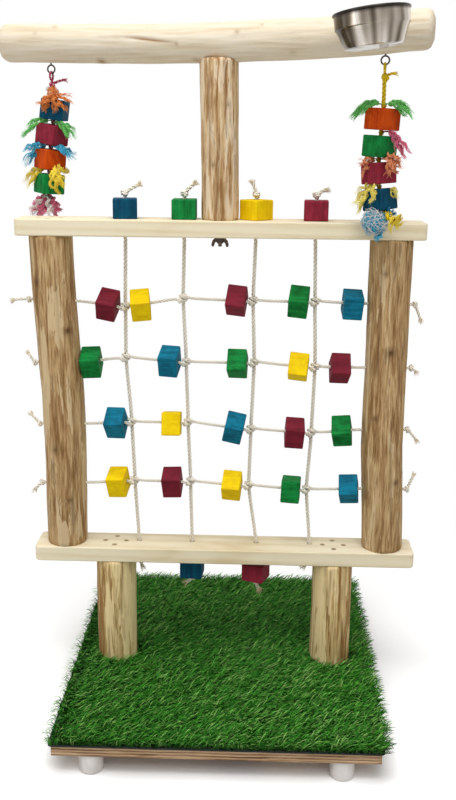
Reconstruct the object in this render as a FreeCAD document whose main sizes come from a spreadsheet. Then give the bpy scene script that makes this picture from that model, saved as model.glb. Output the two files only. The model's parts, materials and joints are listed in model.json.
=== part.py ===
import FreeCAD, Part
import math
import os
import Sketcher
from FreeCAD import Placement, Rotation, Vector

# Play stand for parrots. Millimetres, +Z up, front towards -Y.
# The origin is on the floor, in the middle of the stand's footprint.

doc = FreeCAD.newDocument("PlayStand")

sizes = {
    # base
    "board_width": 500,
    "board_depth": 574,
    "board_thickness": 18,
    "board_shift": 18,              # the board's middle lies this far to the right
    "turf_thickness": 20,
    "turf_overhang": 8,
    "turf_corner": 10,
    "turf_play": 0.8,               # round each leg
    "foot_diameter": 38,
    "foot_height": 35,
    "foot_inset_across": 57,        # foot's middle from the board's side
    "foot_inset_along": 22,         # foot's middle from the board's front or back
    "foot_web": 12,
    "foot_recess_diameter": 14,
    "foot_edge": 3,
    # timber frame
    "frame_line": 16,               # legs, planks and uprights stand this far in front of the middle
    "leg_diameter": 68.4,
    "leg_length": 193,
    "leg_waist": 0.6,               # how much thinner a leg is halfway up
    "leg_top_taper": 0.4,
    "leg_bow": 0.5,
    "leg_offset": 186,
    "plank_length": 640,
    "plank_depth": 67,
    "plank_thickness": 26,
    "plank_corner": 9,
    "plank_edge": 2.5,
    "lower_plank_shift": 19.4,
    "upper_plank_shift": 8.6,
    "upright_length": 520,
    "upright_offset": 269,
    "left_upright_diameter": 69,
    "right_upright_diameter": 68,
    "left_upright_bow": 6,
    "right_upright_bow": 5.3,
    # screws
    "wood_screw_diameter": 4.5,
    "wood_screw_length": 50,
    "wood_screw_head": 9,
    "wood_screw_circle": 18,        # radius of the four screws at a log's end
    "foot_screw_diameter": 4.5,
    "foot_screw_length": 25,
    "foot_screw_head": 9,
    "pan_head_height": 3,
    "pan_head_edge": 1,
    "head_recess": 0.4,
    "hole_play": 0.1,               # all round a screw
    "hole_mouth": 1,                # a countersink is cut this far above its head
    "hole_end_room": 1,             # beyond the perch screw's tip
    # net
    "vertical_rope": 6,
    "horizontal_rope": 4.8,
    "rope_hole_play": 1.5,          # all round a rope in its hole
    "rope_bend": 6,                 # length of a rope's bend, each side of a knot
    "hitch_swell": 0.3,             # how much a hitch is thicker than its rope, as a radius
    "hitch_gap": 0.5,
    "first_row": 104.5,
    "row_spacing": 104,
    "outer_rope_top": 150,
    "inner_rope_top": 56.5,
    "outer_rope_bottom": 146,
    "inner_rope_bottom": 55,
    "row_end_knot": 14,
    "top_knot": 15,
    "bottom_knot": 14,
    "leg_knot": 11,                 # the knots beside the legs
    "knot_gap": 0.3,
    # blocks
    "block_width": 38,
    "block_length": 31,
    "block_hole": 10,
    "block_edge": 2,
    "block_play": 0.25,             # a threaded block stays this far from its rope
    "block_max_skew": 8,            # degrees between a block and its rope
    "seat_gap": 0.2,
    "blue_under_gap": 5,
    "maroon_under_gap": 10,
    # perch and its post
    "swivel_angle": 12,             # the perch's right end is turned this far forwards
    "post_diameter": 58.5,
    "post_length": 238.8,
    "post_lean": 3.6,
    "post_waist": 0.8,              # how much thinner the post is above its middle
    "perch_left_reach": 357,
    "perch_right_reach": 313,
    "perch_left_diameter": 57,
    "perch_middle_diameter": 57.5,
    "perch_right_diameter": 56,
    "perch_left_rise": 4,
    "perch_right_rise": 15.5,
    "perch_edge": 9,
    "perch_end_land": 1,            # straight length behind a rounded end
    "notch_depth": 6.4,
    "notch_play": 0.3,
    "perch_screw_diameter": 6,
    "perch_screw_length": 100,
    "perch_screw_head": 12,
    "bolt_diameter": 6,
    "bolt_in_post": 40,
    "bolt_below_nut": 5,
    "bolt_play": 0.08,
    "bolt_chamfer": 0.6,
    "washer_diameter": 12,
    "washer_thickness": 1.6,
    "washer_play": 0.2,
    "nut_play": 0.05,
    "nut_top_diameter": 12,
    "nut_bottom_diameter": 10,
    "nut_height": 9,
    "nut_collar": 3.2,              # the straight part above the cone
    "wing_span": 28,
    "wing_drop": 14.5,
    "wing_thickness": 2.6,
    "wing_edge": 1.1,
    "wing_root": 0.8,               # the wings start this far outside the bore
    # bowl
    "bowl_place": 232,              # along the perch, to the right of the post
    "bowl_wall_radius": 52,
    "bowl_base_radius": 41,
    "bowl_height": 48,
    "bowl_shoulder": 25,
    "bowl_step": 1.6,               # the upper band stands out this far from the lower one
    "bowl_step_height": 1.5,
    "bowl_foot_bevel": 2,
    "bowl_foot_lift": 1.6,
    "bowl_sheet": 0.8,
    "bowl_bead": 4,
    "bowl_tilt": 7.5,
    "bowl_screw_up": 32.5,          # above the bowl's bottom
    "bowl_screw_rise": 7,           # above the perch's axis
    "bowl_gap": 0.4,                # between the wall and the perch
    "bowl_screw_diameter": 4.8,
    "bowl_screw_length": 45,
    "bowl_screw_head": 9,
    "bowl_screw_play": 0.05,
    "bowl_head_gap": 0.55,
    # toys
    "left_eye_place": 276,
    "right_eye_place": 245,
    "eye_wire": 2.5,
    "eye_radius": 6,
    "eye_neck": 2,
    "eye_shank": 14,
    "toy_cord": 4.8,
    "loop_wire": 4,
    "loop_radius": 6,
    "toy_cord_bend": 10,
    "toy_knot": 12,
    "left_first_drop": 19,
    "right_first_drop": 40,
    "left_end_tail": 14,
    "right_end_tail": 7,
}

sheet = doc.addObject("Spreadsheet::Sheet", "Sizes")
for line, (alias, value) in enumerate(sizes.items(), start=1):
    sheet.set(f"A{line}", alias)
    sheet.set(f"B{line}", str(value))
    sheet.setAlias(f"B{line}", alias)
doc.recompute()


def size(alias):
    return float(sheet.get(alias))


# ---- sketches and features ----

nodes = {}


def keep(name, thing):
    thing.Label = name
    nodes[name] = thing
    return thing


def new_body(name):
    body = doc.addObject("PartDesign::Body", name)
    body.Label = name
    return body


def new_sketch(body, name, role="XY_Plane", lift="0"):
    sketch = body.newObject("Sketcher::SketchObject", f"{body.Name}_{name}")
    plane = next(part for part in body.Origin.OriginFeatures if part.Role == role)
    sketch.AttachmentSupport = [(plane, "")]
    sketch.MapMode = "FlatFace"
    sketch.setExpression(".AttachmentOffset.Base.z", lift)
    return sketch


def bind(sketch, kind, targets, expression):
    value = sketch.evalExpression(expression)
    number = sketch.addConstraint(Sketcher.Constraint(kind, *targets, float(value)))
    sketch.setExpression(f"Constraints[{number}]", expression)


def pin(sketch, geometry, point, across, up):
    # a point's place from the sketch's origin, with "0" for on the axis
    for kind, axis, expression in (("DistanceX", -2, across), ("DistanceY", -1, up)):
        if expression == "0":
            sketch.addConstraint(Sketcher.Constraint("PointOnObject", geometry, point, axis))
        elif float(sketch.evalExpression(expression)) < 0:
            bind(sketch, kind, (geometry, point, -1, 1), f"-({expression})")
        else:
            bind(sketch, kind, (-1, 1, geometry, point), expression)


def ring(sketch, diameter, across="0", up="0"):
    x = float(sketch.evalExpression(across))
    y = float(sketch.evalExpression(up))
    radius = float(sketch.evalExpression(diameter)) / 2
    circle = sketch.addGeometry(Part.Circle(Vector(x, y, 0), Vector(0, 0, 1), radius))
    pin(sketch, circle, 3, across, up)
    bind(sketch, "Diameter", (circle,), diameter)


def outline(sketch, corners):
    # a closed outline of straight edges, each corner given as two expressions
    places = [Vector(*(float(sketch.evalExpression(text)) for text in corner), 0) for corner in corners]
    lines = []
    for start, end in zip(places, places[1:] + places[:1]):
        lines.append(sketch.addGeometry(Part.LineSegment(start, end)))
    for first, second in zip(lines, lines[1:] + lines[:1]):
        sketch.addConstraint(Sketcher.Constraint("Coincident", first, 2, second, 1))
    for edge, corner in zip(lines, corners):
        pin(sketch, edge, 1, *corner)


def rectangle(sketch, width, depth):
    right = f"({width}) / 2"
    back = f"({depth}) / 2"
    left = f"-({width}) / 2"
    front = f"-({depth}) / 2"
    outline(sketch, [(left, front), (right, front), (right, back), (left, back)])


def pad(body, sketch, length, both_ways=False):
    feature = body.newObject("PartDesign::Pad", f"{sketch.Name}_pad")
    feature.Profile = sketch
    feature.setExpression("Length", length)
    if both_ways:
        feature.SideType = "Symmetric"
    return feature


def pocket(body, sketch, both_ways=False):
    # right through, away from the sketch's normal unless both ways
    feature = body.newObject("PartDesign::Pocket", f"{sketch.Name}_pocket")
    feature.Profile = sketch
    feature.Type = "ThroughAll"
    if both_ways:
        feature.SideType = "Symmetric"
    return feature


def revolve(body, sketch):
    feature = body.newObject("PartDesign::Revolution", f"{sketch.Name}_turned")
    feature.Profile = sketch
    feature.ReferenceAxis = (sketch, ["V_Axis"])
    feature.Angle = 360
    return feature


def round_edges(body, feature, radius, wanted):
    doc.recompute()
    edges = [f"Edge{i}" for i, edge in enumerate(feature.Shape.Edges, start=1) if wanted(edge)]
    fillet = body.newObject("PartDesign::Fillet", f"{feature.Name}_rounding")
    fillet.Base = (feature, edges)
    fillet.setExpression("Radius", radius)
    return fillet


def upright_edge(edge):
    return isinstance(edge.Curve, Part.Line) and abs(edge.Curve.Direction.z) > 0.9


def level_edge(edge):
    return abs(edge.tangentAt(edge.FirstParameter).z) < 0.1


def cut(name, blank, tool):
    feature = doc.addObject("Part::Cut", name)
    feature.Base = blank
    feature.Tool = tool
    return keep(name, feature)


def shaped(name, shape, placement=None):
    feature = doc.addObject("Part::Feature", name)
    feature.Shape = shape
    if placement:
        feature.Placement = placement
    return feature


def copies(shape, placements):
    solids = []
    for placement in placements:
        solid = shape.copy()
        solid.Placement = placement.multiply(shape.Placement)
        solids.append(solid)
    return Part.makeCompound(solids)


def log(name, role, stations):
    # a lofted log, whose stations give length along it, diameter and sideways drift
    body = new_body(name)
    rings = []
    for number, (along, diameter, across, up) in enumerate(stations):
        sketch = new_sketch(body, f"ring{number}", role, along)
        sketch.setExpression(".AttachmentOffset.Base.x", across)
        sketch.setExpression(".AttachmentOffset.Base.y", up)
        ring(sketch, diameter)
        rings.append(sketch)
    loft = body.newObject("PartDesign::AdditiveLoft", f"{name}_loft")
    loft.Profile = rings[0]
    loft.Sections = rings[1:]
    doc.recompute()
    return body, loft


def inside_ends(shape, middle, direction, reach=200):
    # where a line through a shape enters and leaves it
    line = Part.makeLine(middle - direction * reach, middle + direction * reach)
    points = [vertex.Point for vertex in shape.common(line).Vertexes]
    points.sort(key=lambda point: point.dot(direction))
    return points[0], points[-1]


# ---- heights, and the places that the pieces share ----

board_bottom = size("foot_height")
board_top = board_bottom + size("board_thickness")
lower_bottom = board_top + size("leg_length")
lower_top = lower_bottom + size("plank_thickness")
upper_bottom = lower_top + size("upright_length")
upper_top = upper_bottom + size("plank_thickness")
frame_y = -size("frame_line")
hitch_radius = size("horizontal_rope") / 2 + size("hitch_swell")
rope_separation = size("vertical_rope") / 2 + size("hitch_gap") + hitch_radius
rope_parting = "(Sizes.vertical_rope / 2 + Sizes.hitch_gap + Sizes.horizontal_rope / 2 + Sizes.hitch_swell)"
back_rope_y = frame_y + rope_separation / 2
front_rope_y = frame_y - rope_separation / 2


def seat_depth(knot):
    # from a block's face to the middle of the knot that it rests on, which enters its hole a little
    return math.sqrt((knot / 2 + size("knot_gap")) ** 2 - (size("block_hole") / 2) ** 2)


def at(x, y, z, rotation=Rotation()):
    return Placement(Vector(x, y, z), rotation)


# ---- screws ----

turned_over = Rotation(Vector(1, 0, 0), 180)


def countersunk_screw(name, kind, play):
    # head up at z = 0, with play all round for the hole that it makes
    body = new_body(name)
    sketch = new_sketch(body, "profile", "XZ_Plane")
    grow = f" + {play}" if play else ""
    head = f"Sizes.{kind}_head / 2{grow}"
    shank = f"Sizes.{kind}_diameter / 2{grow}"
    cone = f"-(Sizes.{kind}_head - Sizes.{kind}_diameter) / 2"
    tip = f"-Sizes.{kind}_length"
    corners = [(head, "0"), (shank, cone)]
    if play:
        end = f"{tip} - {play}"
        mouth = "Sizes.head_recess + Sizes.hole_mouth"
        corners = [("0", mouth), (head, mouth)] + corners + [(shank, end), ("0", end)]
    else:
        corners = [("0", "0")] + corners + [(shank, f"{tip} + {shank}"), ("0", tip)]
    outline(sketch, corners)
    revolve(body, sketch)
    return body


def pan_head_screw(name, kind, play):
    # head below z = 0, shank up
    body = new_body(name)
    sketch = new_sketch(body, "profile", "XZ_Plane")
    grow = f" + {play}" if play else ""
    shank = f"Sizes.{kind}_diameter / 2{grow}"
    tip = f"Sizes.{kind}_length{grow}"
    bottom = "-Sizes.pan_head_height"
    head = f"Sizes.{kind}_head / 2"
    if play:
        corners = [("0", bottom), (shank, bottom), (shank, tip), ("0", tip)]
    else:
        edge = "Sizes.pan_head_edge"
        corners = [("0", bottom), (f"{head} - {edge}", bottom), (head, f"{bottom} + {edge}"), (head, "0")]
        corners += [(shank, "0"), (shank, f"{tip} - {shank}"), ("0", tip)]
    outline(sketch, corners)
    revolve(body, sketch)
    return body


def log_end(x, z, up):
    # four screws in a diamond at a log's end, driven up or down
    radius = size("wood_screw_circle")
    recess = size("head_recess")
    turn = turned_over if up else Rotation()
    depth = z + recess if up else z - recess
    spots = [(radius, 0), (-radius, 0), (0, radius), (0, -radius)]
    return [at(x + across, frame_y + along, depth, turn) for across, along in spots]


wood_screw_places = []
for side in (-1, 1):
    leg_x = size("lower_plank_shift") + side * size("leg_offset")
    low_x = size("lower_plank_shift") + side * size("upright_offset")
    high_x = size("upper_plank_shift") + side * size("upright_offset")
    wood_screw_places += log_end(leg_x, board_bottom, up=True)
    wood_screw_places += log_end(leg_x, lower_top, up=False)
    wood_screw_places += log_end(low_x, lower_bottom, up=True)
    wood_screw_places += log_end(high_x, upper_top, up=False)

wood_screw = countersunk_screw("wood_screw_pattern", "wood_screw", "")
wood_screw_cutter = countersunk_screw("wood_screw_hole", "wood_screw", "Sizes.hole_play")
foot_screw = pan_head_screw("foot_screw_pattern", "foot_screw", "")
foot_screw_cutter = pan_head_screw("foot_screw_hole", "foot_screw", "Sizes.hole_play")
doc.recompute()

foot_places = []
for across in (-1, 1):
    for along in (-1, 1):
        x = size("board_shift") + across * (size("board_width") / 2 - size("foot_inset_across"))
        y = along * (size("board_depth") / 2 - size("foot_inset_along"))
        foot_places.append((x, y))
foot_seat = board_bottom - size("foot_web")
foot_screw_places = [at(x, y, foot_seat) for x, y in foot_places]

keep("wood_screws", shaped("wood_screws", copies(wood_screw.Shape, wood_screw_places)))
keep("foot_screws", shaped("foot_screws", copies(foot_screw.Shape, foot_screw_places)))
wood_screw_holes = shaped("wood_screw_holes", copies(wood_screw_cutter.Shape, wood_screw_places))
foot_screw_holes = shaped("foot_screw_holes", copies(foot_screw_cutter.Shape, foot_screw_places))
board_holes = shaped("board_holes", Part.makeCompound([wood_screw_holes.Shape, foot_screw_holes.Shape]))


# ---- base ----

def make_base_board():
    body = new_body("base_board_blank")
    sketch = new_sketch(body, "plan")
    rectangle(sketch, "Sizes.board_width", "Sizes.board_depth")
    pad(body, sketch, "Sizes.board_thickness")
    body.setExpression(".Placement.Base.x", "Sizes.board_shift")
    body.setExpression(".Placement.Base.z", "Sizes.foot_height")
    doc.recompute()
    cut("base_board", body, board_holes)


def make_turf_mat():
    body = new_body("turf_mat")
    sketch = new_sketch(body, "plan")
    grow = "2 * Sizes.turf_overhang"
    rectangle(sketch, f"Sizes.board_width + {grow}", f"Sizes.board_depth + {grow}")
    mat = pad(body, sketch, "Sizes.turf_thickness")
    round_edges(body, mat, "Sizes.turf_corner", upright_edge)
    legs = new_sketch(body, "leg_holes", lift="Sizes.turf_thickness")
    opening = "Sizes.leg_diameter + 2 * Sizes.turf_play"
    for side in ("-", ""):
        middle = f"Sizes.lower_plank_shift - Sizes.board_shift + ({side}Sizes.leg_offset)"
        ring(legs, opening, middle, "-Sizes.frame_line")
    pocket(body, legs)
    body.setExpression(".Placement.Base.x", "Sizes.board_shift")
    body.setExpression(".Placement.Base.z", "Sizes.foot_height + Sizes.board_thickness")
    keep("turf_mat", body)


def make_feet():
    body = new_body("foot_pattern")
    outer = new_sketch(body, "outside")
    ring(outer, "Sizes.foot_diameter")
    block = pad(body, outer, "Sizes.foot_height")
    rim = size("foot_diameter") / 2

    def bottom_edge(edge):
        low = edge.BoundBox.ZMax < 0.01
        return low and isinstance(edge.Curve, Part.Circle) and abs(edge.Curve.Radius - rim) < 0.01

    round_edges(body, block, "Sizes.foot_edge", bottom_edge)
    recess = new_sketch(body, "recess", lift="Sizes.foot_height - Sizes.foot_web")
    ring(recess, "Sizes.foot_recess_diameter")
    pocket(body, recess)
    shank = new_sketch(body, "screw_hole", lift="Sizes.foot_height")
    ring(shank, "Sizes.foot_screw_diameter + 2 * Sizes.hole_play")
    pocket(body, shank)
    doc.recompute()
    keep("feet", shaped("feet", copies(body.Shape, [at(x, y, 0) for x, y in foot_places])))


make_base_board()
make_turf_mat()
make_feet()


# ---- legs, planks and uprights ----

def make_leg(name, side):
    stations = [
        ("0", "Sizes.leg_diameter", "0", "0"),
        ("0.5 * Sizes.leg_length", "Sizes.leg_diameter - Sizes.leg_waist", f"{side} * Sizes.leg_bow", "0"),
        ("Sizes.leg_length", "Sizes.leg_diameter - Sizes.leg_top_taper", "0", "0"),
    ]
    body, loft = log(f"{name}_blank", "XY_Plane", stations)
    body.setExpression(".Placement.Base.x", f"Sizes.lower_plank_shift + {side} * Sizes.leg_offset")
    body.setExpression(".Placement.Base.y", "-Sizes.frame_line")
    body.setExpression(".Placement.Base.z", "Sizes.foot_height + Sizes.board_thickness")
    doc.recompute()
    cut(name, body, wood_screw_holes)


def make_plank(name, shift, height, rope_outer, rope_inner, bolt_hole=False):
    body = new_body(f"{name}_blank")
    sketch = new_sketch(body, "plan")
    rectangle(sketch, "Sizes.plank_length", "Sizes.plank_depth")
    board = pad(body, sketch, "Sizes.plank_thickness")
    corners = round_edges(body, board, "Sizes.plank_corner", upright_edge)
    round_edges(body, corners, "Sizes.plank_edge", level_edge)
    holes = new_sketch(body, "holes", lift="Sizes.plank_thickness")
    for place in (rope_outer, rope_inner):
        for side in ("-", ""):
            ring(holes, "Sizes.vertical_rope + 2 * Sizes.rope_hole_play", f"{side}{place}", f"{rope_parting} / 2")
    if bolt_hole:
        ring(holes, "Sizes.bolt_diameter + 2 * Sizes.bolt_play")
    pocket(body, holes)
    body.setExpression(".Placement.Base.x", shift)
    body.setExpression(".Placement.Base.y", "-Sizes.frame_line")
    body.Placement.Base.z = height
    doc.recompute()
    cut(name, body, wood_screw_holes)


row_heights = [lower_top + size("first_row") + step * size("row_spacing") for step in (3, 2, 1, 0)]


def make_upright(name, side, diameter, bow, shares):
    # the log leans from the lower plank's end to the upper plank's, and bows a little on the way
    lean = "(Sizes.upper_plank_shift - Sizes.lower_plank_shift)"
    stations = []
    for share, bow_share, swell in shares:
        drift = f"{share} * {lean} + {bow_share} * {bow}"
        stations.append((f"{share} * Sizes.upright_length", f"{diameter} + {swell}", drift, "0"))
    body, loft = log(f"{name}_blank", "XY_Plane", stations)
    holes = new_sketch(body, "rope_holes", "YZ_Plane")
    for row, height in enumerate(row_heights):
        up = f"Sizes.first_row + {3 - row} * Sizes.row_spacing"
        ring(holes, "Sizes.horizontal_rope + 2 * Sizes.rope_hole_play", f"-{rope_parting} / 2", up)
    pocket(body, holes, both_ways=True)
    body.setExpression(".Placement.Base.x", f"Sizes.lower_plank_shift + {side} * Sizes.upright_offset")
    body.setExpression(".Placement.Base.y", "-Sizes.frame_line")
    body.Placement.Base.z = lower_top
    doc.recompute()
    bark = loft.Shape.copy()
    bark.Placement = body.Placement
    cut(name, body, wood_screw_holes)
    return bark


make_leg("leg_left", -1)
make_leg("leg_right", 1)
make_plank("lower_plank", "Sizes.lower_plank_shift", lower_bottom, "Sizes.outer_rope_bottom",
           "Sizes.inner_rope_bottom")
make_plank("upper_plank", "Sizes.upper_plank_shift", upper_bottom, "Sizes.outer_rope_top",
           "Sizes.inner_rope_top", bolt_hole=True)

# share of the length, share of the bow, and how much thicker the log is there
left_shares = [
    (0, 0, -2), (0.15, 0.4, -1), (0.35, 1, 0.3), (0.5, 0.97, 0.5), (0.7, 0.5, 0.2), (0.85, 0.1, 0), (1, 0, 0),
]
right_shares = [
    (0, 0, 0.4), (0.15, -0.3, 0), (0.35, -1, 0.2), (0.5, -0.7, 0), (0.7, -0.3, -0.3), (0.85, -0.15, 0), (1, 0, 0.2),
]
left_bark = make_upright(
    "upright_left", -1, "Sizes.left_upright_diameter", "Sizes.left_upright_bow", left_shares)
right_bark = make_upright(
    "upright_right", 1, "Sizes.right_upright_diameter", "Sizes.right_upright_bow", right_shares)


# ---- ropes ----

def rope_path(points, bend):
    # straight runs joined by tangent arcs, each up to one bend long on each side of its corner
    edges = []
    radii = []
    start = points[0]
    for before, corner, after in zip(points, points[1:], points[2:]):
        coming = corner - before
        going = after - corner
        turn = coming.getAngle(going)
        if math.degrees(turn) < 0.2:
            continue
        reach = min(bend, 0.45 * coming.Length, 0.45 * going.Length)
        coming.normalize()
        going.normalize()
        radius = reach / math.tan(turn / 2)
        inward = going - coming
        inward.normalize()
        arc_start = corner - coming * reach
        arc_end = corner + going * reach
        arc_middle = corner + inward * (radius / math.cos(turn / 2) - radius)
        edges.append(Part.LineSegment(start, arc_start).toShape())
        edges.append(Part.Arc(arc_start, arc_middle, arc_end).toShape())
        radii.append(radius)
        start = arc_end
    edges.append(Part.LineSegment(start, points[-1]).toShape())
    return Part.Wire(edges), radii


def tube(label, points, diameter, bend):
    path, radii = rope_path(points, bend)
    section = Part.Circle(points[0], points[1] - points[0], diameter / 2).toShape()
    solid = path.makePipeShell([Part.Wire(section)], True, False)
    expected = math.pi * diameter ** 2 / 4 * path.Length
    if abs(solid.Volume / expected - 1) > 0.01:
        raise ValueError(f"{label}: the tube's volume is {solid.Volume}, not {expected}")
    tightest = f"{min(radii):.0f}" if radii else "none"
    print(f"{label}: {path.Length:.0f} mm long, tightest bend {tightest} mm")
    return solid


def tail(knot, across, up, diameter):
    direction = Vector(across, 0, up)
    return Part.makeCylinder(diameter / 2, direction.Length, knot, direction)


def joined(shapes):
    return shapes[0].fuse(shapes[1:])


def rope_places(plank, end):
    # where the four upright ropes pass a plank, from the left
    middle = size(f"{plank}_plank_shift")
    outer = size(f"outer_rope_{end}")
    inner = size(f"inner_rope_{end}")
    return [middle - outer, middle - inner, middle + inner, middle + outer]


top_x = rope_places("upper", "top")
bottom_x = rope_places("lower", "bottom")

# how far each crossing lies from the straight line between its rope's holes, and from its row's height
crossing_drift = [
    [(-5, -10), (-4.6, 4), (-4.7, 2), (1.5, 2)],
    [(-8.7, 10), (-2.4, 4), (-3.1, 5), (3.5, -1)],
    [(-3.7, 5), (-1.9, 6), (-8.6, -4), (-0.3, -8)],
    [(-2.9, 6), (-0.3, 6), (-12.7, 1), (-6.8, -4)],
]


def crossing(row, rope, y):
    drift_x, drift_z = crossing_drift[row][rope]
    height = row_heights[row]
    share = (height - lower_top) / size("upright_length")
    x = bottom_x[rope] + share * (top_x[rope] - bottom_x[rope]) + drift_x
    return Vector(x, y, height + drift_z)


# under the lower plank: the gap above a threaded block, or None where the rope ends in a knot
under_gaps = [None, size("blue_under_gap"), size("maroon_under_gap"), None]
top_tails = [(22, 13), (15.5, 15.5), (-6, 17), (13, 8)]
bottom_tails = [(4, -16), (-9, -9), (5, -13), (-7, -10)]
top_knot_z = upper_top + size("seat_gap") + size("block_length") + size("knot_gap") + size("top_knot") / 2


def bottom_knot(rope):
    gap = under_gaps[rope]
    if gap is None:
        return size("leg_knot"), lower_bottom - size("knot_gap") - size("leg_knot") / 2
    knot = size("bottom_knot")
    return knot, lower_bottom - gap - size("block_length") - seat_depth(knot)


def make_vertical_ropes():
    ropes = []
    for rope in range(4):
        high = Vector(top_x[rope], back_rope_y, top_knot_z)
        mouth = Vector(top_x[rope], back_rope_y, upper_bottom)
        foot_mouth = Vector(bottom_x[rope], back_rope_y, lower_top)
        diameter, low_z = bottom_knot(rope)
        low = Vector(bottom_x[rope], back_rope_y, low_z)
        crossings = [crossing(row, rope, back_rope_y) for row in range(4)]
        points = [high, mouth] + crossings + [foot_mouth, low]
        solid = tube(f"vertical rope {rope + 1}", points, size("vertical_rope"), size("rope_bend"))
        knots = [Part.makeSphere(size("top_knot") / 2, high), Part.makeSphere(diameter / 2, low)]
        tails = [tail(high, *top_tails[rope], size("vertical_rope"))]
        tails.append(tail(low, *bottom_tails[rope], size("vertical_rope")))
        ropes.append(joined([solid] + knots + tails))
    keep("vertical_ropes", shaped("vertical_ropes", Part.makeCompound(ropes)))


left_tails = [(-31, -2), (-12, 18), (-16, 19), (-14, -15)]
right_tails = [(13, -31), (8, -6), (19, -22), (13, 32)]


def row_points(row):
    # from the knot outside the left upright to the knot outside the right one
    middle_y = Vector(0, front_rope_y, row_heights[row])
    along = Vector(1, 0, 0)
    left_out, left_in = inside_ends(left_bark, middle_y + along * left_bark.BoundBox.Center.x, along)
    right_in, right_out = inside_ends(right_bark, middle_y + along * right_bark.BoundBox.Center.x, along)
    stand_off = along * (size("knot_gap") + size("row_end_knot") / 2)
    crossings = [crossing(row, rope, front_rope_y) for rope in range(4)]
    return [left_out - stand_off, left_in] + crossings + [right_in, right_out + stand_off]


rows = [row_points(row) for row in range(4)]


def hitch(row, rope):
    # the row's rope goes once round the upright rope
    middle = crossing(row, rope, back_rope_y)
    above = Vector(top_x[rope], back_rope_y, upper_bottom)
    below = Vector(bottom_x[rope], back_rope_y, lower_top)
    if row > 0:
        above = crossing(row - 1, rope, back_rope_y)
    if row < 3:
        below = crossing(row + 1, rope, back_rope_y)
    up = (above - middle).normalize() + (middle - below).normalize()
    return Part.makeTorus(rope_separation, hitch_radius, middle, up)


def make_horizontal_ropes():
    ropes = []
    for row, points in enumerate(rows):
        solid = tube(f"horizontal rope {row + 1}", points, size("horizontal_rope"), size("rope_bend"))
        pieces = [solid] + [hitch(row, rope) for rope in range(4)]
        for knot, (across, up) in ((points[0], left_tails[row]), (points[-1], right_tails[row])):
            pieces.append(Part.makeSphere(size("row_end_knot") / 2, knot))
            pieces.append(tail(knot, across, up, size("horizontal_rope")))
        ropes.append(joined(pieces))
    keep("horizontal_ropes", shaped("horizontal_ropes", Part.makeCompound(ropes)))


make_vertical_ropes()
make_horizontal_ropes()


# ---- blocks ----

def make_block(name, placement):
    body = new_body(name)
    sketch = new_sketch(body, "end", "YZ_Plane")
    rectangle(sketch, "Sizes.block_width", "Sizes.block_width")
    ring(sketch, "Sizes.block_hole")
    cube = pad(body, sketch, "Sizes.block_length", both_ways=True)
    hole = size("block_hole")

    def outer_edge(edge):
        middle = edge.CenterOfMass
        return isinstance(edge.Curve, Part.Line) and math.hypot(middle.y, middle.z) > hole

    round_edges(body, cube, "Sizes.block_edge", outer_edge)
    body.Placement = placement
    keep(name, body)
    return placement


def threaded(rope_point, rope_way, along, roll):
    # a block hangs on its rope, its hole skewed from it no more than the hole allows
    along.normalize()
    skew = along.getAngle(rope_way)
    limit = math.radians(size("block_max_skew"))
    if skew > limit:
        along = rope_way * math.sin(skew - limit) + along * math.sin(limit)
        along.normalize()
        skew = limit
    aside = rope_way - along * rope_way.dot(along)
    spread = size("block_length") / 2 * math.tan(skew)
    if aside.Length > 0:
        aside.normalize()
    down = Vector(0, 0, -1)
    down = (down - along * down.dot(along)).normalize()
    slack = size("block_hole") / 2 - size("horizontal_rope") / 2 - size("block_play")
    lean = abs(down.dot(aside)) * spread
    drop = math.sqrt(lean ** 2 - spread ** 2 + slack ** 2) - lean
    turn = Rotation(Vector(1, 0, 0), along) * Rotation(Vector(1, 0, 0), -roll)
    return Placement(rope_point + down * drop, turn)


# along the row, then the angles of a block: upper face, turned forwards at the right, lowered at the right
net_blocks = [
    [("maroon", -170.6, 54, 6.5, 10), ("yellow", -118.4, 59, -5, -5), ("maroon", 36.1, 34, 8, 6),
     ("green", 135.2, 54, 15, 12), ("blue", 220.9, 73.6, -2, 3)],
    [("green", -200.3, 61, 1, -3), ("blue", -72.2, 66, 13, 1), ("green", 38.6, 33, 5, 0),
     ("yellow", 138, 28, 6, 5), ("maroon", 204.9, 38, -3, 2)],
    [("blue", -161.9, 53, 12, 0), ("yellow", -69.3, 102, 0, 0), ("blue", 34.6, 56, 2, 12),
     ("maroon", 134.3, 69, -1, 3.5), ("green", 212.2, 50, 9, -6)],
    [("yellow", -160.2, 71, 9, -4), ("maroon", -68.9, 70, 3, -3), ("yellow", 31.8, 49, 6, 3),
     ("green", 130.8, 93, 5.5, 2), ("blue", 227.6, 43, 9, -5)],
]


def rope_at(points, x):
    for start, end in zip(points, points[1:]):
        if start.x <= x <= end.x:
            way = (end - start).normalize()
            return start + way * ((x - start.x) / way.x), way
    raise ValueError(f"no rope at {x}")


spins = {}
for row, blocks in enumerate(net_blocks):
    for number, (colour, x, roll, yaw, tilt) in enumerate(blocks, start=1):
        point, way = rope_at(rows[row], x)
        forwards = math.radians(yaw)
        lowered = math.radians(tilt)
        along = Vector(math.cos(forwards) * math.cos(lowered), -math.sin(forwards), -math.sin(lowered))
        name = f"net_row{row + 1}_block{number}_{colour}"
        placement = threaded(point, way, along, roll)
        spins[name] = make_block(name, placement)
        behind = rope_separation * 2 + hitch_radius
        room = size("block_length") / 2 + rope_separation + hitch_radius
        room += behind * abs(placement.Rotation.multVec(Vector(1, 0, 0)).y)
        nearest = min(abs(knot.x - x) for knot in rows[row][2:-2])
        if nearest < room:
            print(f"{name} is only {nearest:.1f} mm from a crossing and needs {room:.1f}")

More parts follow.
